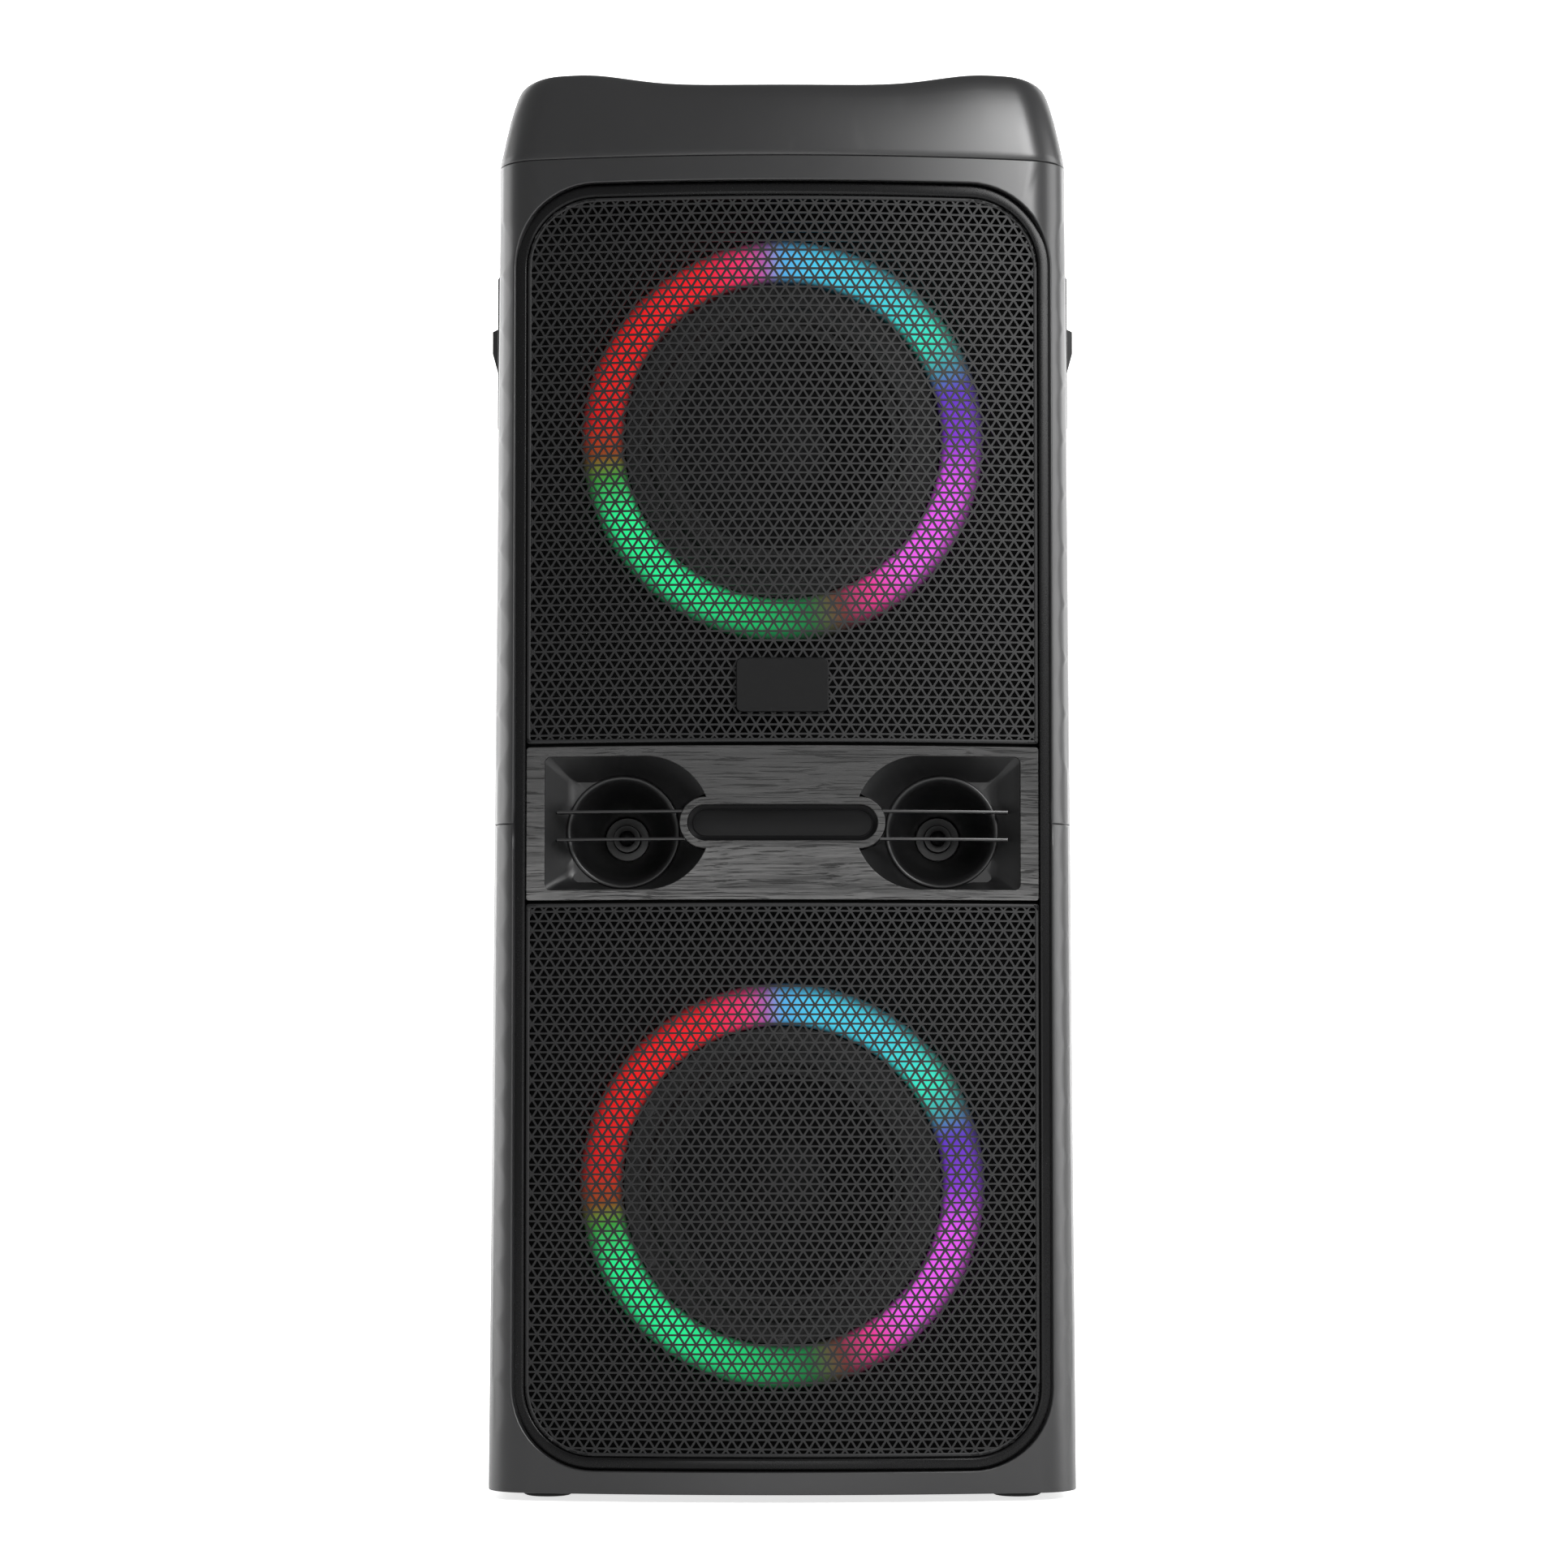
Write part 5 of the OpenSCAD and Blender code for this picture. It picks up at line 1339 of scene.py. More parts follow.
@dataclass
class Grille:
    """One perforated steel grille with its solid rim.

    Attributes:
        node: the CAD node that it stands for.
        up: whether its round corners are at its upper end.
        radius: radius of those corners.
        square: radius of the corners at the panel.
        node_pitch: distance between neighbouring holes of a row.
        row_pitch: distance between rows.
        strut: width of the bars between holes.
        thickness: thickness of the sheet.
        set_back: how far it lies behind the cabinet's front.
        rim: width of the solid rim.
        rim_back: how far the rim's rear lies behind the cabinet's front.
        inset: how far the sheet's border lies inside the rim's outline.
    """

    node: str
    up: bool
    radius: float = 33.5 * MM
    square: float = 1.5 * MM
    node_pitch: float = 5.74 * MM
    row_pitch: float = 4.56 * MM
    strut: float = 0.95 * MM
    thickness: float = 1.1 * MM
    set_back: float = 5.9 * MM
    rim: float = 1.9 * MM
    rim_back: float = 15 * MM
    inset: float = 0.6 * MM

    def build(self, tree: GrilleTree) -> None:
        """Makes the grille."""
        low, high, middle = size_of(self.node)
        half, half_height = (high.x - low.x) / 2, (high.z - low.z) / 2
        side = math.hypot(self.node_pitch / 2, self.row_pitch)
        inner_radius = self.node_pitch * self.row_pitch / (self.node_pitch + 2 * side)
        drum = BULGE.radius - self.set_back
        sizes = {"Half Width": half - self.inset, "Half Height": half_height - self.inset,
                 "Corner Radius": self.radius - self.inset, "Square Radius": self.square - self.inset,
                 "Node Pitch": self.node_pitch, "Row Pitch": self.row_pitch,
                 "Hole Share": 1 - self.strut / 2 / inner_radius, "Middle Z": middle.z,
                 "Side": 1.0 if self.up else -1.0, "Drum Radius": drum,
                 "Drum Centre": BULGE.front + BULGE.radius}
        sheet = add_object("sheet", bpy.data.meshes.new("sheet"))
        modifier = sheet.modifiers.new("perforations", "NODES")
        modifier.node_group = tree.group
        for item in tree.group.interface.items_tree:
            if item.in_out == "INPUT":
                modifier[item.identifier] = sizes[item.name]
        apply_modifiers(sheet)
        tidy_mesh(sheet.data)
        with editing(sheet.data) as work:
            if sum(f.normal.y * f.calc_area() for f in work.faces) > 0:
                bmesh.ops.reverse_faces(work, faces=work.faces)
        modify(sheet, "SOLIDIFY", thickness=self.thickness, offset=-1.0)

        def loop(offset: float) -> Loop:
            """The outline, grown by an offset in millimetres."""
            grow = offset * MM
            radius, square = self.radius + grow, self.square + grow * 0.2
            four = [square, radius, radius, square] if self.up else [radius, square, square, radius]
            return rounded_loop(0, middle.z, 2 * (half + grow), 2 * (half_height + grow), four, steps=12)
        rim, wall = self.rim / MM, 1.1
        front = self.set_back - 0.35 * MM
        back = self.set_back + self.thickness + 0.1 * MM
        profile = [(0, self.rim_back), (0, front + 0.6 * MM), (-0.12, front + 0.22 * MM), (-0.45, front),
                   (-rim + 0.3, front), (-rim, front + 0.2 * MM), (-rim, back), (-wall, back),
                   (-wall, self.rim_back), (0, self.rim_back)]
        edge = make_object("rim", *loft(drum_rings(loop, profile)), Finish.GRILLE)
        shade(edge, 40.0)
        grille = join(f"{self.node}_perforated", [edge, sheet])
        finish_piece(grille, CABINET, "grille_steel", self.node)


@dataclass
class HornPanel:
    """The wood-grain panel with the display's pod, its window and the badge plate.

    Attributes:
        set_back: how far its face lies behind the cabinet's front.
        thickness: its thickness.
        edge: radius of its edges.
        outer_x: outer end of a recess.
        recess: height of a recess.
        round_x: middle of a recess's round inner end.
        corner: radius of a recess's outer corners.
        pod: width and height of the pod.
        pod_rim: width of the pod's rim.
        window: width and height of the window's raised face.
        badge_front: how far the badge plate lies behind the cabinet's front.
        badge_wall: thickness of the badge plate.
        badge_edge: radius of its edges.
        badge_corner: radius of its corners.
    """

    set_back: float = 5.5 * MM
    thickness: float = 3 * MM
    edge: float = 0.45 * MM
    outer_x: float = 116 * MM
    recess: float = 65 * MM
    round_x: float = 67.2 * MM
    corner: float = 3 * MM
    pod: Point2 = (100 * MM, 25 * MM)
    pod_rim: float = 3.7 * MM
    window: Point2 = (87.5 * MM, 12.9 * MM)
    badge_front: float = 3 * MM
    badge_wall: float = 2.3 * MM
    badge_edge: float = 0.6 * MM
    badge_corner: float = 3 * MM

    def __post_init__(self) -> None:
        """Reads the panel's place from the frame."""
        self.low, self.high, self.middle = size_of("horn_panel")

    def opening(self, side: int, offset: float, notched: bool = True) -> Loop:
        """A recess's outline.

        Args:
            side: -1 for the left, 1 for the right.
            offset: how much it is grown.
            notched: whether the pod's end is cut out of it.

        Returns:
            The loop.
        """
        z = self.middle.z
        radius = self.recess / 2 + offset
        end = self.outer_x + offset
        small = self.corner + offset
        if notched:
            pod_radius = self.pod[1] / 2 - offset
            turn = math.degrees(math.asin(pod_radius / radius))
            start, stop, steps = 180 + turn, 180 - turn, 26
            pod = [arc(self.pod[0] / 2 - self.pod[1] / 2, 0, pod_radius, 90, -90, 28)]
        else:
            start, stop, steps, pod = 180, 179, 36, []
        corners = [arc(self.round_x, 0, radius, start, 270, steps),
                   arc(end - small, -radius + small, small, 270, 360, 8),
                   arc(end - small, radius - small, small, 0, 90, 8),
                   arc(self.round_x, 0, radius, 90, stop, steps), *pod]
        loop = closed_loop(corners, 4 * MM)
        return [(side * x, z + v) for x, v in (loop if side > 0 else reversed(loop))]

    def pill(self, width: float, height: float) -> Loop:
        """A loop with round ends about the panel's middle."""
        return rounded_loop(0, self.middle.z, width, height, height / 2 - 1e-6, 4 * MM, 24)

    def build(self) -> None:
        """Makes the panel, the window and the badge plate."""
        half, height = self.high.x, self.high.z - self.low.z

        def place(x: float, z: float, depth: float) -> Point3:
            """A point of the sheet on the bulge."""
            return x, BULGE.y(x, self.set_back + depth), z

        def outer(offset: float) -> Loop:
            """The sheet's outline, drawn in by an offset."""
            return rounded_loop(0, self.middle.z, 2 * (half - offset), height - 2 * offset,
                                1.5 * MM - offset * 0.5)
        inner_pod = tuple(size - 2 * self.pod_rim for size in self.pod)
        holes = [lambda o: self.opening(-1, o), lambda o: self.opening(1, o),
                 lambda o: self.pill(inner_pod[0] + 2 * o, inner_pod[1] + 2 * o)]
        sheet = LippedSheet(place, outer, holes, self.thickness, self.edge)
        plate = sheet.build("plate", Finish.WOOD, grid(6, 20, 6, self.middle.z))
        pod_back = size_of("display_board")[1].y
        rings = []
        inwards = -2 * self.pod_rim
        for grow, deep in ((0, None), (0, pod_back), (inwards, pod_back), (inwards, None), (0, None)):
            loop = self.pill(self.pod[0] - 0.1 * MM + grow, self.pod[1] - 0.1 * MM + grow)
            rings.append([(x, BULGE.y(x, self.set_back + self.thickness / 2) if deep is None else deep, z)
                          for x, z in loop])
        wall = make_object("pod", *loft(rings), Finish.WOOD)
        shade(wall, 40.0)
        finish_piece(join("horn_panel_wood", [plate, wall]), CABINET, "wood_trim", "horn_panel")
        self._window(inner_pod)
        self._badge()

    def _window(self, opening: Point2) -> None:
        """The display's window: a raised pill with a sloped border that fills the pod."""
        front = size_of("display_window")[0].y
        border, glass = tuple(size - 0.2 * MM for size in opening), self.window
        sections = ((border, 0, 5.0), (border, 0, 1.6), (border, -0.3, 1.5), (glass, 0.9, 2.6),
                    (glass, 0.1, 2.6), (glass, 0, 2.3), (glass, -0.3, 2.05), (glass, -0.8, 2.0))
        rings = [[(x, front + deep * MM, z) for x, z in self.pill(width + grow * MM, height + grow * MM)]
                 for (width, height), grow, deep in sections]
        made = make_object("display_window_glass", *loft(rings, filled=True), Finish.GLASS)
        shade(made, 30.0)
        finish_piece(made, CABINET, "smoked_window", "display_window")

    def _badge(self) -> None:
        """The bare badge plate."""
        low, high, middle = size_of("badge_plate")

        def place(x: float, z: float, depth: float) -> Point3:
            """A point of the sheet on the bulge."""
            return x, BULGE.y(x, self.badge_front + depth), z

        def outer(offset: float) -> Loop:
            """The sheet's outline, drawn in by an offset."""
            return rounded_loop(0, middle.z, high.x - low.x - 2 * offset, high.z - low.z - 2 * offset,
                                self.badge_corner - offset, 4 * MM, 8)
        sheet = LippedSheet(place, outer, [], self.badge_wall, self.badge_edge)
        made = sheet.build("badge_plate_bare", Finish.BADGE, grid(4, 5, 2, middle.z))
        finish_piece(made, CABINET, "control_plastic", "badge_plate")


@dataclass
class Horns:
    """The two horns, their phase plugs and the fins that cross them.

    Attributes:
        panel: the panel that they stand in.
        flare: sections of the round flare as (radius, Y from the baffle's front), in millimetres.
        outside: the same for its back.
        plug: sections of the phase plug as (radius, Y from the horn's throat), in millimetres.
        floor: outer, upper and lower reach of the recess's floor from the horn's axis, in millimetres.
        fin_heights: the fins' heights above the panel's middle.
        fin_t: thickness of a fin.
        fin_d: depth of a fin.
        fin_back: how far a fin lies behind the cabinet's front.
        fin_end: distance between a fin's end and the recess's outer end.
        throat: depth of the throat behind the baffle's front.
        plug_radius: radius of a phase plug's foot.
    """

    panel: HornPanel
    flare: tuple[Point2, ...] = (
        (27.9, -2.0), (27.7, -2.6), (27.2, -3.0), (26.5, -3.0), (25.7, -2.5), (24.4, -0.6), (22.6, 4.5),
        (20.4, 11), (18.0, 19), (15.6, 29), (13.6, 39), (12.2, 48), (11.3, 55), (11.0, 58.5))
    outside: tuple[Point2, ...] = ((13.5, 58.5), (14.5, 48), (18.2, 29), (23, 11), (28.5, 1.5))
    plug: tuple[Point2, ...] = (
        (0, 0.2), (10.9, 0.2), (10.9, -2.6), (10.6, -3), (8.0, -3.2), (7.1, -3.4), (6.9, -3.8), (6.9, -8.6),
        (6.6, -9), (4.4, -9.2), (3.8, -9.5), (3.6, -9.9), (3.6, -13.4), (3.3, -14), (2.4, -14.6),
        (1.2, -15.6), (0, -15.9))
    floor: tuple[float, float, float] = (24.4, 24.6, 24.4)
    fin_heights: tuple[float, ...] = (5.7 * MM, -7.8 * MM)
    fin_t: float = 1.4 * MM
    fin_d: float = 5 * MM
    fin_back: float = 7.5 * MM
    fin_end: float = 6 * MM
    throat: float = 58 * MM
    plug_radius: float = 10.7 * MM

    def __post_init__(self) -> None:
        """Reads the horns' axes from the frame."""
        _, high, middle = size_of("phase_plugs")
        self.axis_x = high.x - self.plug_radius
        self.axis_z = middle.z
        self.baffle = size_of("baffle")[0].y

    def _horn(self, side: int) -> None:
        """One horn: from the recess's outline over sloped walls to the round flare.

        Args:
            side: -1 for the left, 1 for the right.
        """
        panel = self.panel
        axis = Vector((side * self.axis_x, self.axis_z))
        mouth = self.flare[0][0] * MM
        outline = panel.opening(side, 0.1 * MM, notched=False)
        outline.sort(key=lambda p: math.atan2(p[1] - axis.y, (p[0] - axis.x) * side))
        pod_centre = Vector((side * (panel.pod[0] - panel.pod[1]) / 2, panel.middle.z))
        pod_radius = panel.pod[1] / 2 + 0.3 * MM
        pod_back = size_of("display_board")[1].y + 0.3 * MM
        out, up, down = (v * MM for v in self.floor)
        first: Ring = []
        rim: Ring = []
        back: Ring = []
        ways: list[Vector] = []
        for point in outline:
            way = Vector(point) - axis
            reach = way.length
            way.normalize()
            ways.append(way)
            to_pod = pod_centre - axis
            near = to_pod.dot(way)
            miss = to_pod.length_squared - near * near
            start_y = BULGE.y(point[0], panel.set_back + panel.thickness - 0.6 * MM)
            back_y = BULGE.y(point[0], panel.set_back + panel.thickness + 0.3 * MM)
            if near > 0 and miss < pod_radius ** 2:
                reach = near - math.sqrt(pod_radius ** 2 - miss)
                start_y = back_y = pod_back
            at = axis + way * reach
            first.append((at.x, start_y, at.y))
            outer = axis + way * (reach + 1.5 * MM)
            back.append((outer.x, back_y + 1 * MM, outer.y))
            wide = mouth
            if way.x * side > 0:
                box = min(out / max(abs(way.x), 1e-6), (up if way.y > 0 else down) / max(abs(way.y), 1e-6))
                wide = max(mouth, min(box, reach - 1 * MM))
            rim_at = axis + way * wide
            rim.append((rim_at.x, self.baffle - 2 * MM, rim_at.y))

        def round_ring(radius: float, y: float) -> Ring:
            """A round ring along the rays, in millimetres."""
            return [(axis.x + way.x * radius * MM, self.baffle + y * MM, axis.y + way.y * radius * MM)
                    for way in ways]

        def between(t: float) -> Ring:
            """A ring between the first one and the rim."""
            return [tuple(a[k] + (b[k] - a[k]) * t for k in range(3)) for a, b in zip(first, rim)]
        rings = [first, between(0.25), between(0.5), between(0.75), rim]
        rings += [round_ring(*section) for section in (*self.flare, *self.outside)]
        behind = [(x, y + 2.2 * MM, z) for x, y, z in rim]
        rings += [behind, back, first]
        name = "left_horn" if side < 0 else "right_horn"
        made = make_object(f"{name}_moulding", *loft(rings), Finish.HORN)
        shade(made, 42.0)
        finish_piece(made, CABINET, "horn_black", name)

    def _fin(self, side: int, rise: float) -> bpy.types.Object:
        """One curved fin, deeper towards its outer end.

        Args:
            side: -1 for the left, 1 for the right.
            rise: its height above the panel's middle.

        Returns:
            The linked object.
        """
        panel = self.panel
        z = panel.middle.z + rise
        pod_radius = panel.pod[1] / 2
        start = panel.pod[0] / 2 - pod_radius + math.sqrt(pod_radius ** 2 - rise ** 2) + 0.1 * MM
        end = panel.outer_x - self.fin_end
        half, soft = self.fin_t / 2, 0.4 * MM
        section = [(self.fin_d, -half), (soft, -half), (soft * 0.3, -half + soft * 0.3), (0, -half + soft),
                   (0, half - soft), (soft * 0.3, half - soft * 0.3), (soft, half), (self.fin_d, half)]
        rings = []
        for i in range(17):
            x = start + (end - start) * i / 16
            deeper = 1 + 0.9 * max(0.0, (i - 11) / 5) ** 1.5
            scaled = [(depth * (deeper if depth > 1 * MM else 1), v) for depth, v in section]
            rings.append([(side * x, BULGE.y(x, self.fin_back + depth), z + v) for depth, v in scaled])
        return make_object("fin", *loft(rings, filled=True), Finish.FIN)

    def build(self) -> None:
        """Makes the horns, fins and plugs."""
        for side in (-1, 1):
            self._horn(side)
        fins = join("horn_fins_moulding", [self._fin(s, rise) for s in (-1, 1) for rise in self.fin_heights])
        shade(fins, 30.0)
        finish_piece(fins, CABINET, "horn_black", "horn_fins")
        throat = self.baffle + self.throat
        profile = [(r * MM, y * MM) for r, y in self.plug]
        plugs = [revolve("plug", (s * self.axis_x, throat, self.axis_z), profile, Finish.HORN, 64)
                 for s in (-1, 1)]
        made = join("phase_plugs_turned", plugs)
        shade(made, 32.0)
        finish_piece(made, CABINET, "horn_black", "phase_plugs")


@dataclass
class LightRings:
    """The light rings round the woofers.

    Attributes:
        section: (radius, depth behind the ring's front) pairs, in millimetres.
        inner: inner radius of the lit band.
    """

    section: tuple[Point2, ...] = (
        (98.7, 9.0), (98.7, 4.0), (98.2, 2.6), (96.6, 1.4), (94, 0.6), (91, 0.15), (88.2, 0.0),
        (85.4, 0.15), (82.4, 0.6), (79.9, 1.4), (78.3, 2.6), (77.9, 4.0), (77.9, 9.0))
    inner: float = 78 * MM

    def build(self) -> None:
        """Makes both rings."""
        for name in ("upper_light_ring", "lower_light_ring"):
            low, high, middle = size_of(name)
            outer = (high.z - low.z) / 2
            glow = LightRingGlow(f"{name}_glow", middle.z, self.inner, outer, RING_COLOURS)
            profile = [(r * MM, d * MM) for r, d in self.section]
            made = revolve(f"{name}_diffuser", (0, low.y, middle.z), profile, Finish.MARK, 180)
            made.data.materials[0] = glow.build()
            finish_piece(made, CABINET, "light_diffuser", name)


# --- Controls, handles and rear ---

# Depths below a knob's or button's top between which a pointer or sign lies.
MARK_DEPTHS = (0.6 * MM, 0.12 * MM)


@dataclass
class Refined:
    """A CAD shape that keeps its form and gets rounded edges and a finish.

    Attributes:
        node: the CAD node.
        name: the new piece's name.
        finish: its finish.
        slot: its material slot in the record.
        edge: radius of its edges.
        body: the body it rides on.
    """

    node: str
    name: str
    finish: Finish
    slot: str
    edge: float = 0.4 * MM
    body: str = CABINET

    def build(self) -> None:
        """Makes the piece."""
        made = refined_copy(self.node, self.name, self.finish, self.edge)
        finish_piece(made, self.body, self.slot, self.node)


@dataclass
class Knob:
    """A turned knob with a fluted grip, a dished top and a pointer line.

    Attributes:
        node: the CAD node.
        flutes: number of flutes round the grip.
        flute: depth of a flute.
        edge: radius of the upper edge.
        taper: how much narrower the knob is at its top.
        shaft: radius of the shaft.
    """

    node: str
    flutes: int
    flute: float = 0.5 * MM
    edge: float = 1.2 * MM
    taper: float = 0.15 * MM
    shaft: float = 3 * MM

    def build(self) -> None:
        """Makes the knob with its pointer."""
        low, high, middle = size_of(self.node)
        radius = (high.x - low.x) / 2 - 0.05 * MM
        deck = size_of("control_deck")[1].z
        bottom, top, edge = max(low.z, deck + 0.4 * MM), high.z, self.edge
        steps = self.flutes * 8

        def ring(inset: float, z: float, grip: float) -> Ring:
            """A ring, fluted by a share of the flutes' depth."""
            points = []
            for i in range(steps):
                a = 2 * math.pi * i / steps
                wave = abs(math.cos(a * self.flutes / 2))
                r = radius - inset - grip * self.flute * (1 - wave ** 0.5)
                points.append((middle.x + r * math.cos(a), middle.y + r * math.sin(a), z))
            return points
        rings = [ring(0.6 * MM, bottom, 0), ring(0.1 * MM, bottom + 0.5 * MM, 0.2),
                 ring(0, bottom + 1.4 * MM, 1),
                 ring(self.taper, top - edge - 1.4 * MM, 1), ring(self.taper, top - edge - 0.6 * MM, 0.2)]
        for turn in (0, 22, 45, 67, 90):
            a = math.radians(turn)
            rings.append(ring(self.taper + edge * (1 - math.cos(a)), top - edge * (1 - math.sin(a)), 0))
        dish = ((edge + 0.5 * MM, 0), (edge + 0.9 * MM, -0.15 * MM), (edge + 1.6 * MM, -0.3 * MM),
                (radius * 0.5, -0.42 * MM), (radius * 0.8, -0.5 * MM))
        rings += [ring(inset, top + drop, 0) for inset, drop in dish]
        made = make_object("knob", *loft(rings, filled=True), Finish.KNOB)
        shaft = [ring(radius - self.shaft, z, 0) for z in (low.z, bottom + 1 * MM)]
        stem = make_object("stem", *loft(shaft, filled=True), Finish.KNOB)
        whole = join(f"{self.node}_turned", [made, stem])
        shade(whole, 32.0)
        finish_piece(whole, self.node, "control_plastic", self.node)
        half = 0.9 * MM
        flat = rounded_loop(middle.x, middle.y + radius * 0.62, half * 2, radius * 0.42, half * 0.9,
                            2 * MM, 6)
        line = [[(x, y, top - depth) for x, y in flat] for depth in MARK_DEPTHS]
        mark = make_object("mark", *loft(line, filled=True), Finish.MARK)
        bevel(mark, 0.06 * MM)
        mark.name = f"{self.node}_pointer"
        finish_piece(mark, self.node, "control_plastic")


class Icon(Enum):
    """Generic signs on the buttons."""

    POWER = "power"
    SUN = "sun"
    PLAY = "play"
    WAVE = "wave"


@dataclass
class Button:
    """A push button with a dished face and a generic sign.

    Attributes:
        node: the CAD node.
        icon: its sign.
        cap: greatest radius of the part above the deck.
        line: width of the sign's lines.
    """

    node: str
    icon: Icon
    cap: float = 8.8 * MM
    line: float = 0.56 * MM

    def strokes(self) -> list[tuple[Loop, bool]]:
        """The sign's lines in millimetres, each with whether it is closed."""
        if self.icon is Icon.POWER:
            return [(arc(0, -0.2, 2.6, 125, 415, 28), False), ([(0, 0.6), (0, 3.2)], False)]
        if self.icon is Icon.PLAY:
            return [([(-1.5, -2.3), (2.4, 0), (-1.5, 2.3)], True)]
        if self.icon is Icon.SUN:
            rays = [([(math.cos(a) * 2.3, math.sin(a) * 2.3), (math.cos(a) * 3.4, math.sin(a) * 3.4)], False)
                    for a in (math.pi / 4 * k for k in range(8))]
            return [(circle(0, 0, 1.4, 24), True), *rays]
        return [([(-3.2 + 0.2 * k, 1.7 * math.sin(k * 0.2 * 1.96)) for k in range(33)], False)]

    def build(self) -> None:
        """Makes the button and its sign."""
        low, high, middle = size_of(self.node)
        radius = (high.x - low.x) / 2
        top = high.z
        sections = [(0.0, low.z), (radius - 0.2 * MM, low.z), (radius, low.z + 0.3 * MM)]
        under = size_of("control_deck")[0].z
        cap = self.cap if radius > 9 * MM else radius
        if radius > cap:
            sections += [(radius, under - 0.3 * MM), (cap, under - 0.25 * MM)]
        sections += [(cap, top - 0.8 * MM), (cap - 0.1 * MM, top - 0.35 * MM),
                     (cap - 0.35 * MM, top - 0.1 * MM), (cap - 0.8 * MM, top),
                     (cap - 1.3 * MM, top - 0.08 * MM), (cap * 0.6, top - 0.35 * MM), (0.0, top - 0.5 * MM)]
        rings = [[(middle.x + x, middle.y + y, z) for x, y in circle(0, 0, r, 72)] for r, z in sections]
        made = make_object(f"{self.node}_dished", *loft(rings), Finish.CONTROL)
        shade(made, 32.0)
        finish_piece(made, self.node, "control_plastic", self.node)
        parts = [self._stroke([(middle.x + x * MM, middle.y + y * MM) for x, y in line], closed, top)
                 for line, closed in self.strokes()]
        sign = join(f"{self.node}_sign", parts)
        shade(sign)
        finish_piece(sign, self.node, "control_plastic")

    def _stroke(self, line: Loop, closed: bool, top: float) -> bpy.types.Object:
        """One printed line of constant width, just above the dished face.

        Args:
            line: its points.
            closed: whether it closes on itself.
            top: height of the button's top.

        Returns:
            The linked object.
        """
        half = self.line / 2
        count = len(line)
        low, high = (top - depth for depth in MARK_DEPTHS)
        rings = []
        for i, (x, y) in enumerate(line):
            a = line[(i - 1) % count] if closed or i else line[i]
            b = line[(i + 1) % count] if closed or i < count - 1 else line[i]
            way = Vector((b[0] - a[0], b[1] - a[1])).normalized()
            nx, ny = -way.y * half, way.x * half
            rings.append([(x - nx, y - ny, low), (x + nx, y + ny, low),
                          (x + nx, y + ny, high), (x - nx, y - ny, high)])
        if closed:
            rings.append(rings[0])
        return make_object("stroke", *loft(rings, filled=not closed), Finish.MARK)


@dataclass
class Controls:
    """The control deck with its knobs and buttons.

    Attributes:
        pieces: the deck, the knobs and the buttons, in order.
    """

    pieces: tuple[Refined | Knob | Button, ...] = (
        Refined("control_deck", "control_deck_plate", Finish.CONTROL, "control_plastic", 0.4 * MM),
        Knob("volume_knob", 36),
        Knob("mic_knob", 18, 0.4 * MM, 0.8 * MM),
        Button("power_button", Icon.POWER),
        Button("light_button", Icon.SUN),
        Button("play_button", Icon.PLAY),
        Button("bass_button", Icon.WAVE),
    )

    def build(self) -> None:
        """Makes every piece."""
        for piece in self.pieces:
            piece.build()


@dataclass
class Rear:
    """Handles, socket plate, sockets, port and switch.

    Attributes:
        pieces: the pieces, in order.
    """

    pieces: tuple[Refined, ...] = (
        Refined("left_handle", "left_handle_cup", Finish.SHELL, "control_plastic", 0.5 * MM),
        Refined("right_handle", "right_handle_cup", Finish.SHELL, "control_plastic", 0.5 * MM),
        Refined("rear_panel", "socket_plate", Finish.CONTROL, "control_plastic", 0.5 * MM),
        Refined("power_inlet", "power_inlet_housing", Finish.HORN, "horn_black", 0.35 * MM),
        Refined("jack_sockets", "jack_sockets_nickel", Finish.STEEL, "zinc_steel", 0.3 * MM),
        Refined("usb_port", "usb_port_shell", Finish.STEEL, "zinc_steel", 0.15 * MM),
        Refined("port_tube", "bass_port_tube", Finish.HORN, "horn_black", 0.4 * MM),
        Refined("power_switch", "power_switch_rocker", Finish.ROCKER, "rocker_plastic", 0.35 * MM,
                "power_switch"),
    )

    def build(self) -> None:
        """Makes every piece."""
        for piece in self.pieces:
            piece.build()


# Finishes of the CAD shapes that stay as they are, nearly all inside the cabinet.
CAD_FINISHES: dict[str, Finish] = {
    "baffle": Finish.FIBREBOARD, "left_tweeter": Finish.BLACK_METAL, "right_tweeter": Finish.BLACK_METAL,
    "display_board": Finish.BOARD, "light_boards": Finish.BOARD, "upper_basket": Finish.BLACK_METAL,
    "lower_basket": Finish.BLACK_METAL, "upper_magnet": Finish.FERRITE, "lower_magnet": Finish.FERRITE,
    "woofer_top_plates": Finish.STEEL, "woofer_yokes": Finish.STEEL, "upper_voice_coil": Finish.COPPER,
    "lower_voice_coil": Finish.COPPER, "upper_spider": Finish.CLOTH, "lower_spider": Finish.CLOTH,
    "upper_cone": Finish.PAPER, "lower_cone": Finish.PAPER, "upper_dust_cap": Finish.PAPER,
    "lower_dust_cap": Finish.PAPER, "upper_surround": Finish.RUBBER, "lower_surround": Finish.RUBBER,
    "woofer_screws": Finish.SCREW, "control_board": Finish.BOARD, "amplifier_board": Finish.BOARD,
    "heatsink": Finish.ALUMINIUM, "power_supply": Finish.BOARD, "battery_pack": Finish.WRAP,
    "case_screws": Finish.SCREW,
}


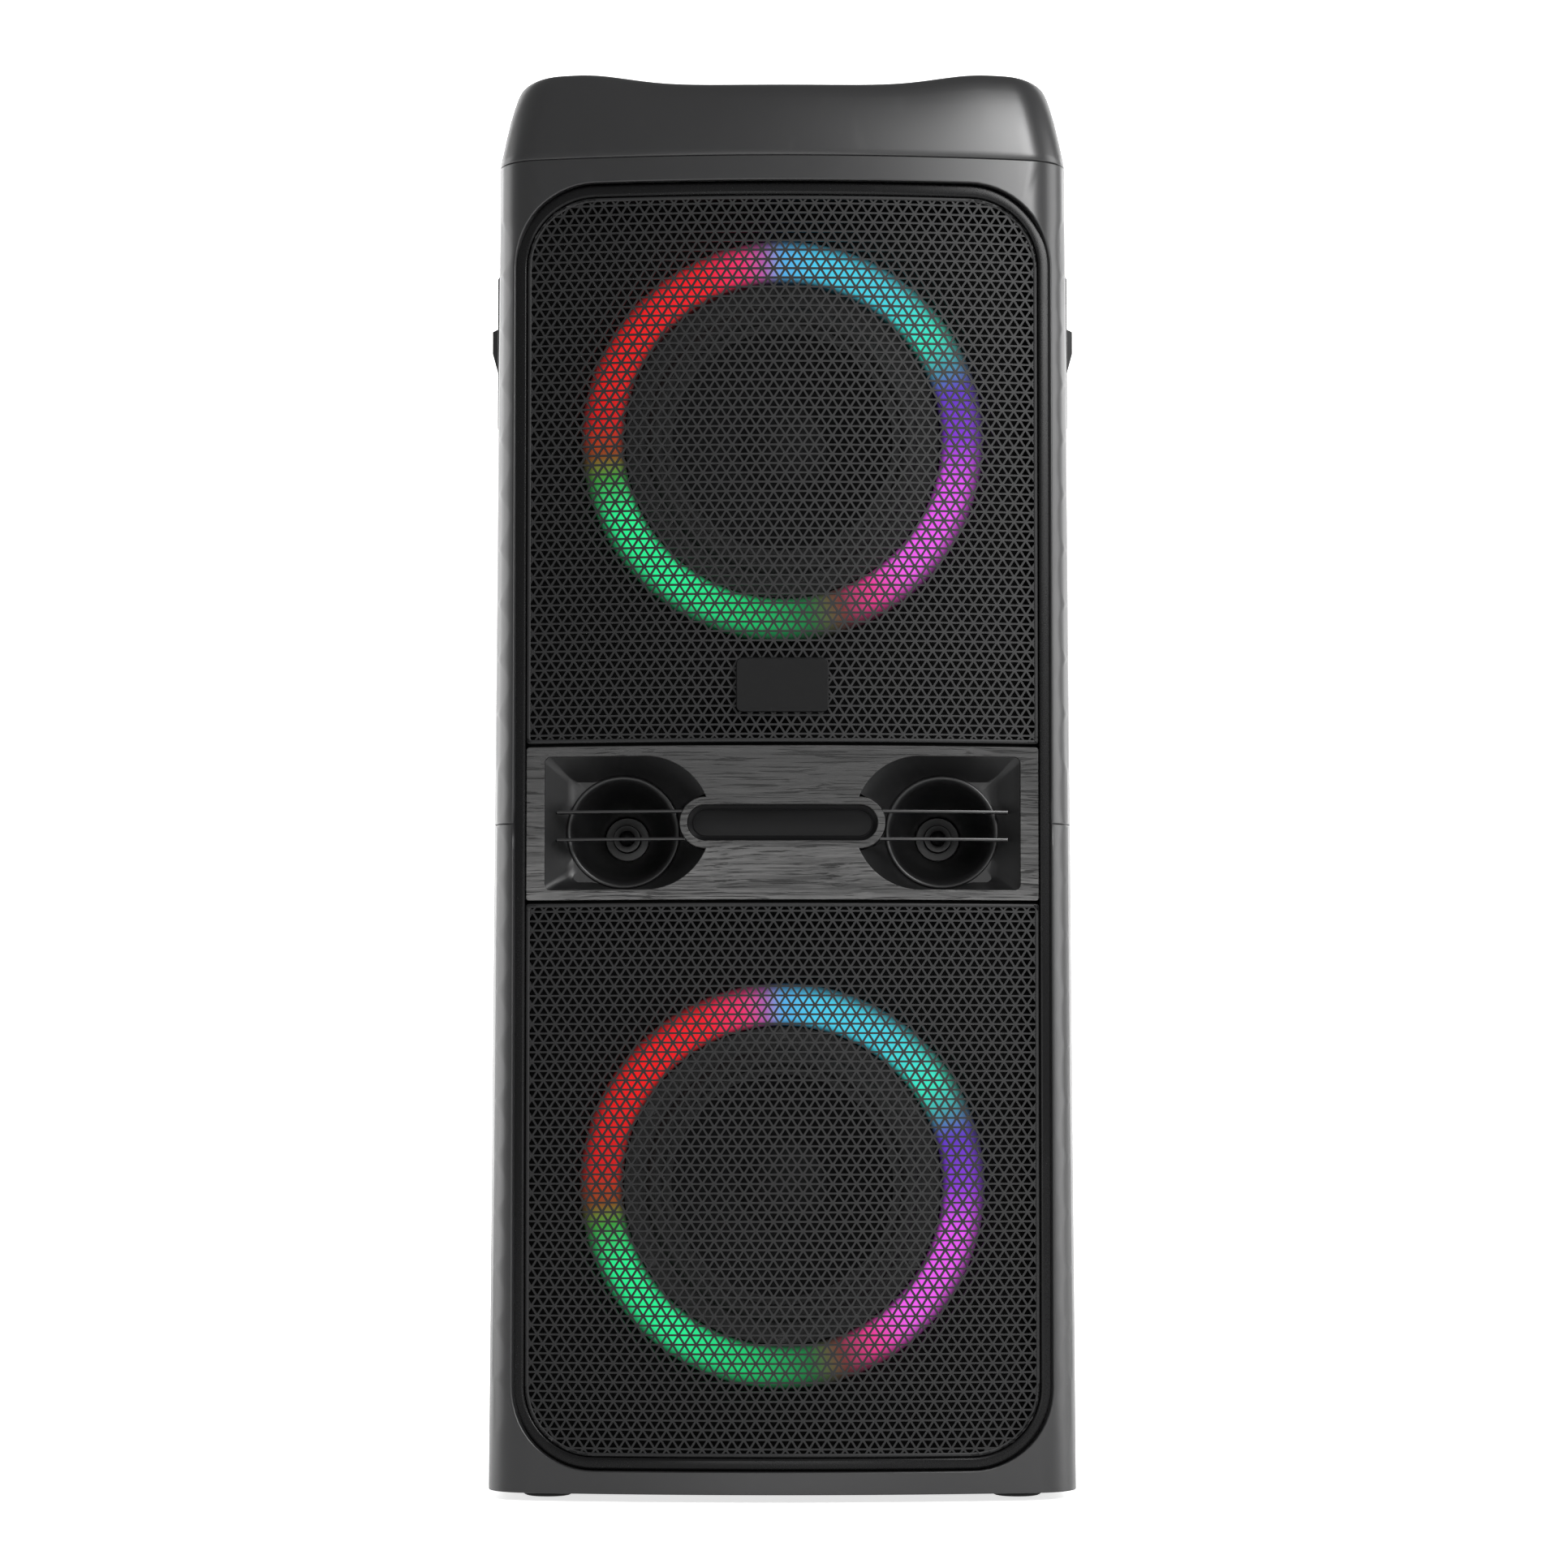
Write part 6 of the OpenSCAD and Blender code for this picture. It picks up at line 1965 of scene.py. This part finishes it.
def dress_cad_nodes() -> None:
    """Gives every carried-over CAD node its finish."""
    for node, finish in CAD_FINISHES.items():
        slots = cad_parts[node].material_slots
        for slot in slots:
            slot.material = finish.material
        if not slots:
            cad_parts[node].data.materials.append(finish.material)
        LOG.info("%s: CAD shape with %s", node, finish.value.name)


# --- Studio ---

@dataclass
class Studio:
    """Floor, world, lights and camera.

    Attributes:
        distance: from the front face to the camera.
        height: height of the camera.
        tilt: upward tilt in degrees.
        lens: focal length in millimetres.
        shift: horizontal and vertical shift.
        ambient: the world's light on the speaker.
        lamps: name, place, aim, width and height, and power of each soft light.
    """

    distance: float = 2.1
    height: float = 0.19
    tilt: float = 2.7
    lens: float = 99.85
    shift: Point2 = (0.001, 0.0757)
    ambient: float = 0.38
    lamps: tuple[tuple[str, Point3, Point3, Point2, float], ...] = (
        ("right_softbox", (1.7, -0.05, 0.5), (0, -0.1, 0.4), (0.8, 1.7), 22),
        ("left_softbox", (-1.7, 0.5, 0.5), (0, -0.1, 0.4), (0.8, 1.7), 14),
        ("right_rim", (1.5, 1.6, 0.5), (0.1, 0, 0.4), (0.7, 1.7), 12),
        ("left_rim", (-1.5, 1.6, 0.5), (-0.1, 0, 0.4), (0.7, 1.7), 14),
        ("cap_softbox", (1.35, -2.1, 1.6), (0.1, -0.1, 0.66), (0.7, 1.3), 74),
        ("panel_softbox", (0, -2.6, 0.2), (0, -0.1, 0.33), (0.9, 0.25), 5),
    )

    def camera(self) -> None:
        """The camera at the viewing angle."""
        data = bpy.data.cameras.new("camera")
        data.lens = self.lens
        data.sensor_width = 36
        data.shift_x, data.shift_y = self.shift
        data.clip_end = 50
        made = add_object("camera", data)
        made.location = (0, CAD_BOX[0].y - self.distance, self.height)
        made.rotation_euler = (math.radians(90 + self.tilt), 0, 0)
        bpy.context.scene.camera = made

    @staticmethod
    def lamp(name: str, place: Point3, aim: Point3, size: Point2, power: float) -> None:
        """One rectangular soft light."""
        data = bpy.data.lights.new(name, "AREA")
        data.shape = "RECTANGLE"
        data.size, data.size_y = size
        data.energy = power
        made = add_object(name, data)
        made.location = place
        made.rotation_euler = (Vector(aim) - Vector(place)).to_track_quat("-Z", "Y").to_euler()

    @staticmethod
    def sheet(name: str, corners: Sequence[Point3], material: bpy.types.Material) -> None:
        """One flat sheet of the studio."""
        mesh = bpy.data.meshes.new(name)
        mesh.from_pydata(corners, [], [(0, 1, 2, 3)])
        mesh.materials.append(material)
        add_object(name, mesh)

    def floor(self) -> None:
        """The pale floor, which is brighter to the camera than to the speaker."""
        tree = ShaderTree("studio_white")
        pale = tree.mix(tree.noise(3.0), (0.86, 0.86, 0.86), (0.9, 0.9, 0.9))
        seen = tree.node("ShaderNodeLightPath", output="Is Camera Ray")
        glow = tree.mix(seen, (0.3, 0.3, 0.3), (0.9, 0.9, 0.9))
        tree.feed(Base_Color=pale, Roughness=0.6, Emission_Color=glow, Emission_Strength=0.8)
        self.sheet("studio_floor", [(-6, -6, 0), (6, -6, 0), (6, 6, 0), (-6, 6, 0)], tree.material)

    def backdrop(self) -> None:
        """The bright sheet behind the speaker."""
        tree = ShaderTree("studio_backdrop_white")
        pale = tree.mix(tree.noise(3.0), (0.98, 0.98, 0.98), (1.0, 1.0, 1.0))
        tree.feed(Base_Color=pale, Roughness=0.9, Emission_Color=pale, Emission_Strength=1.0)
        corners = [(-2.6, 2.6, 0.01), (2.6, 2.6, 0.01), (2.6, 2.6, 3.4), (-2.6, 2.6, 3.4)]
        self.sheet("studio_backdrop", corners, tree.material)

    def world(self) -> None:
        """The white world, which lights the speaker less than the camera sees."""
        world = bpy.data.worlds.new("studio")
        bpy.context.scene.world = world
        world.use_nodes = True
        nodes, links = world.node_tree.nodes, world.node_tree.links
        background = nodes["Background"]
        background.inputs["Color"].default_value = (1, 1, 1, 1)
        path = nodes.new("ShaderNodeLightPath")
        level = nodes.new("ShaderNodeMapRange")
        level.inputs["To Min"].default_value = self.ambient
        links.new(path.outputs["Is Camera Ray"], level.inputs["Value"])
        links.new(level.outputs["Result"], background.inputs["Strength"])

    def build(self) -> None:
        """Makes the whole studio."""
        self.camera()
        self.floor()
        self.backdrop()
        self.world()
        bpy.context.scene.view_settings.view_transform = "Standard"
        for row in self.lamps:
            self.lamp(*row)


def build_parts() -> None:
    """Builds every sub-assembly in order."""
    Shells().build()
    Cap().build()
    Feet().build()
    FrontFrame().build()
    tree = GrilleTree()
    Grille("upper_grille", True).build(tree)
    Grille("lower_grille", False).build(tree)
    panel = HornPanel()
    panel.build()
    Horns(panel).build()
    LightRings().build()
    Rear().build()
    Controls().build()
    dress_cad_nodes()


def main() -> None:
    """Builds the speaker and its studio."""
    logging.basicConfig(level=logging.INFO, format="%(name)s: %(message)s")
    Studio().build()
    build_parts()


if __name__ == "__main__":
    main()
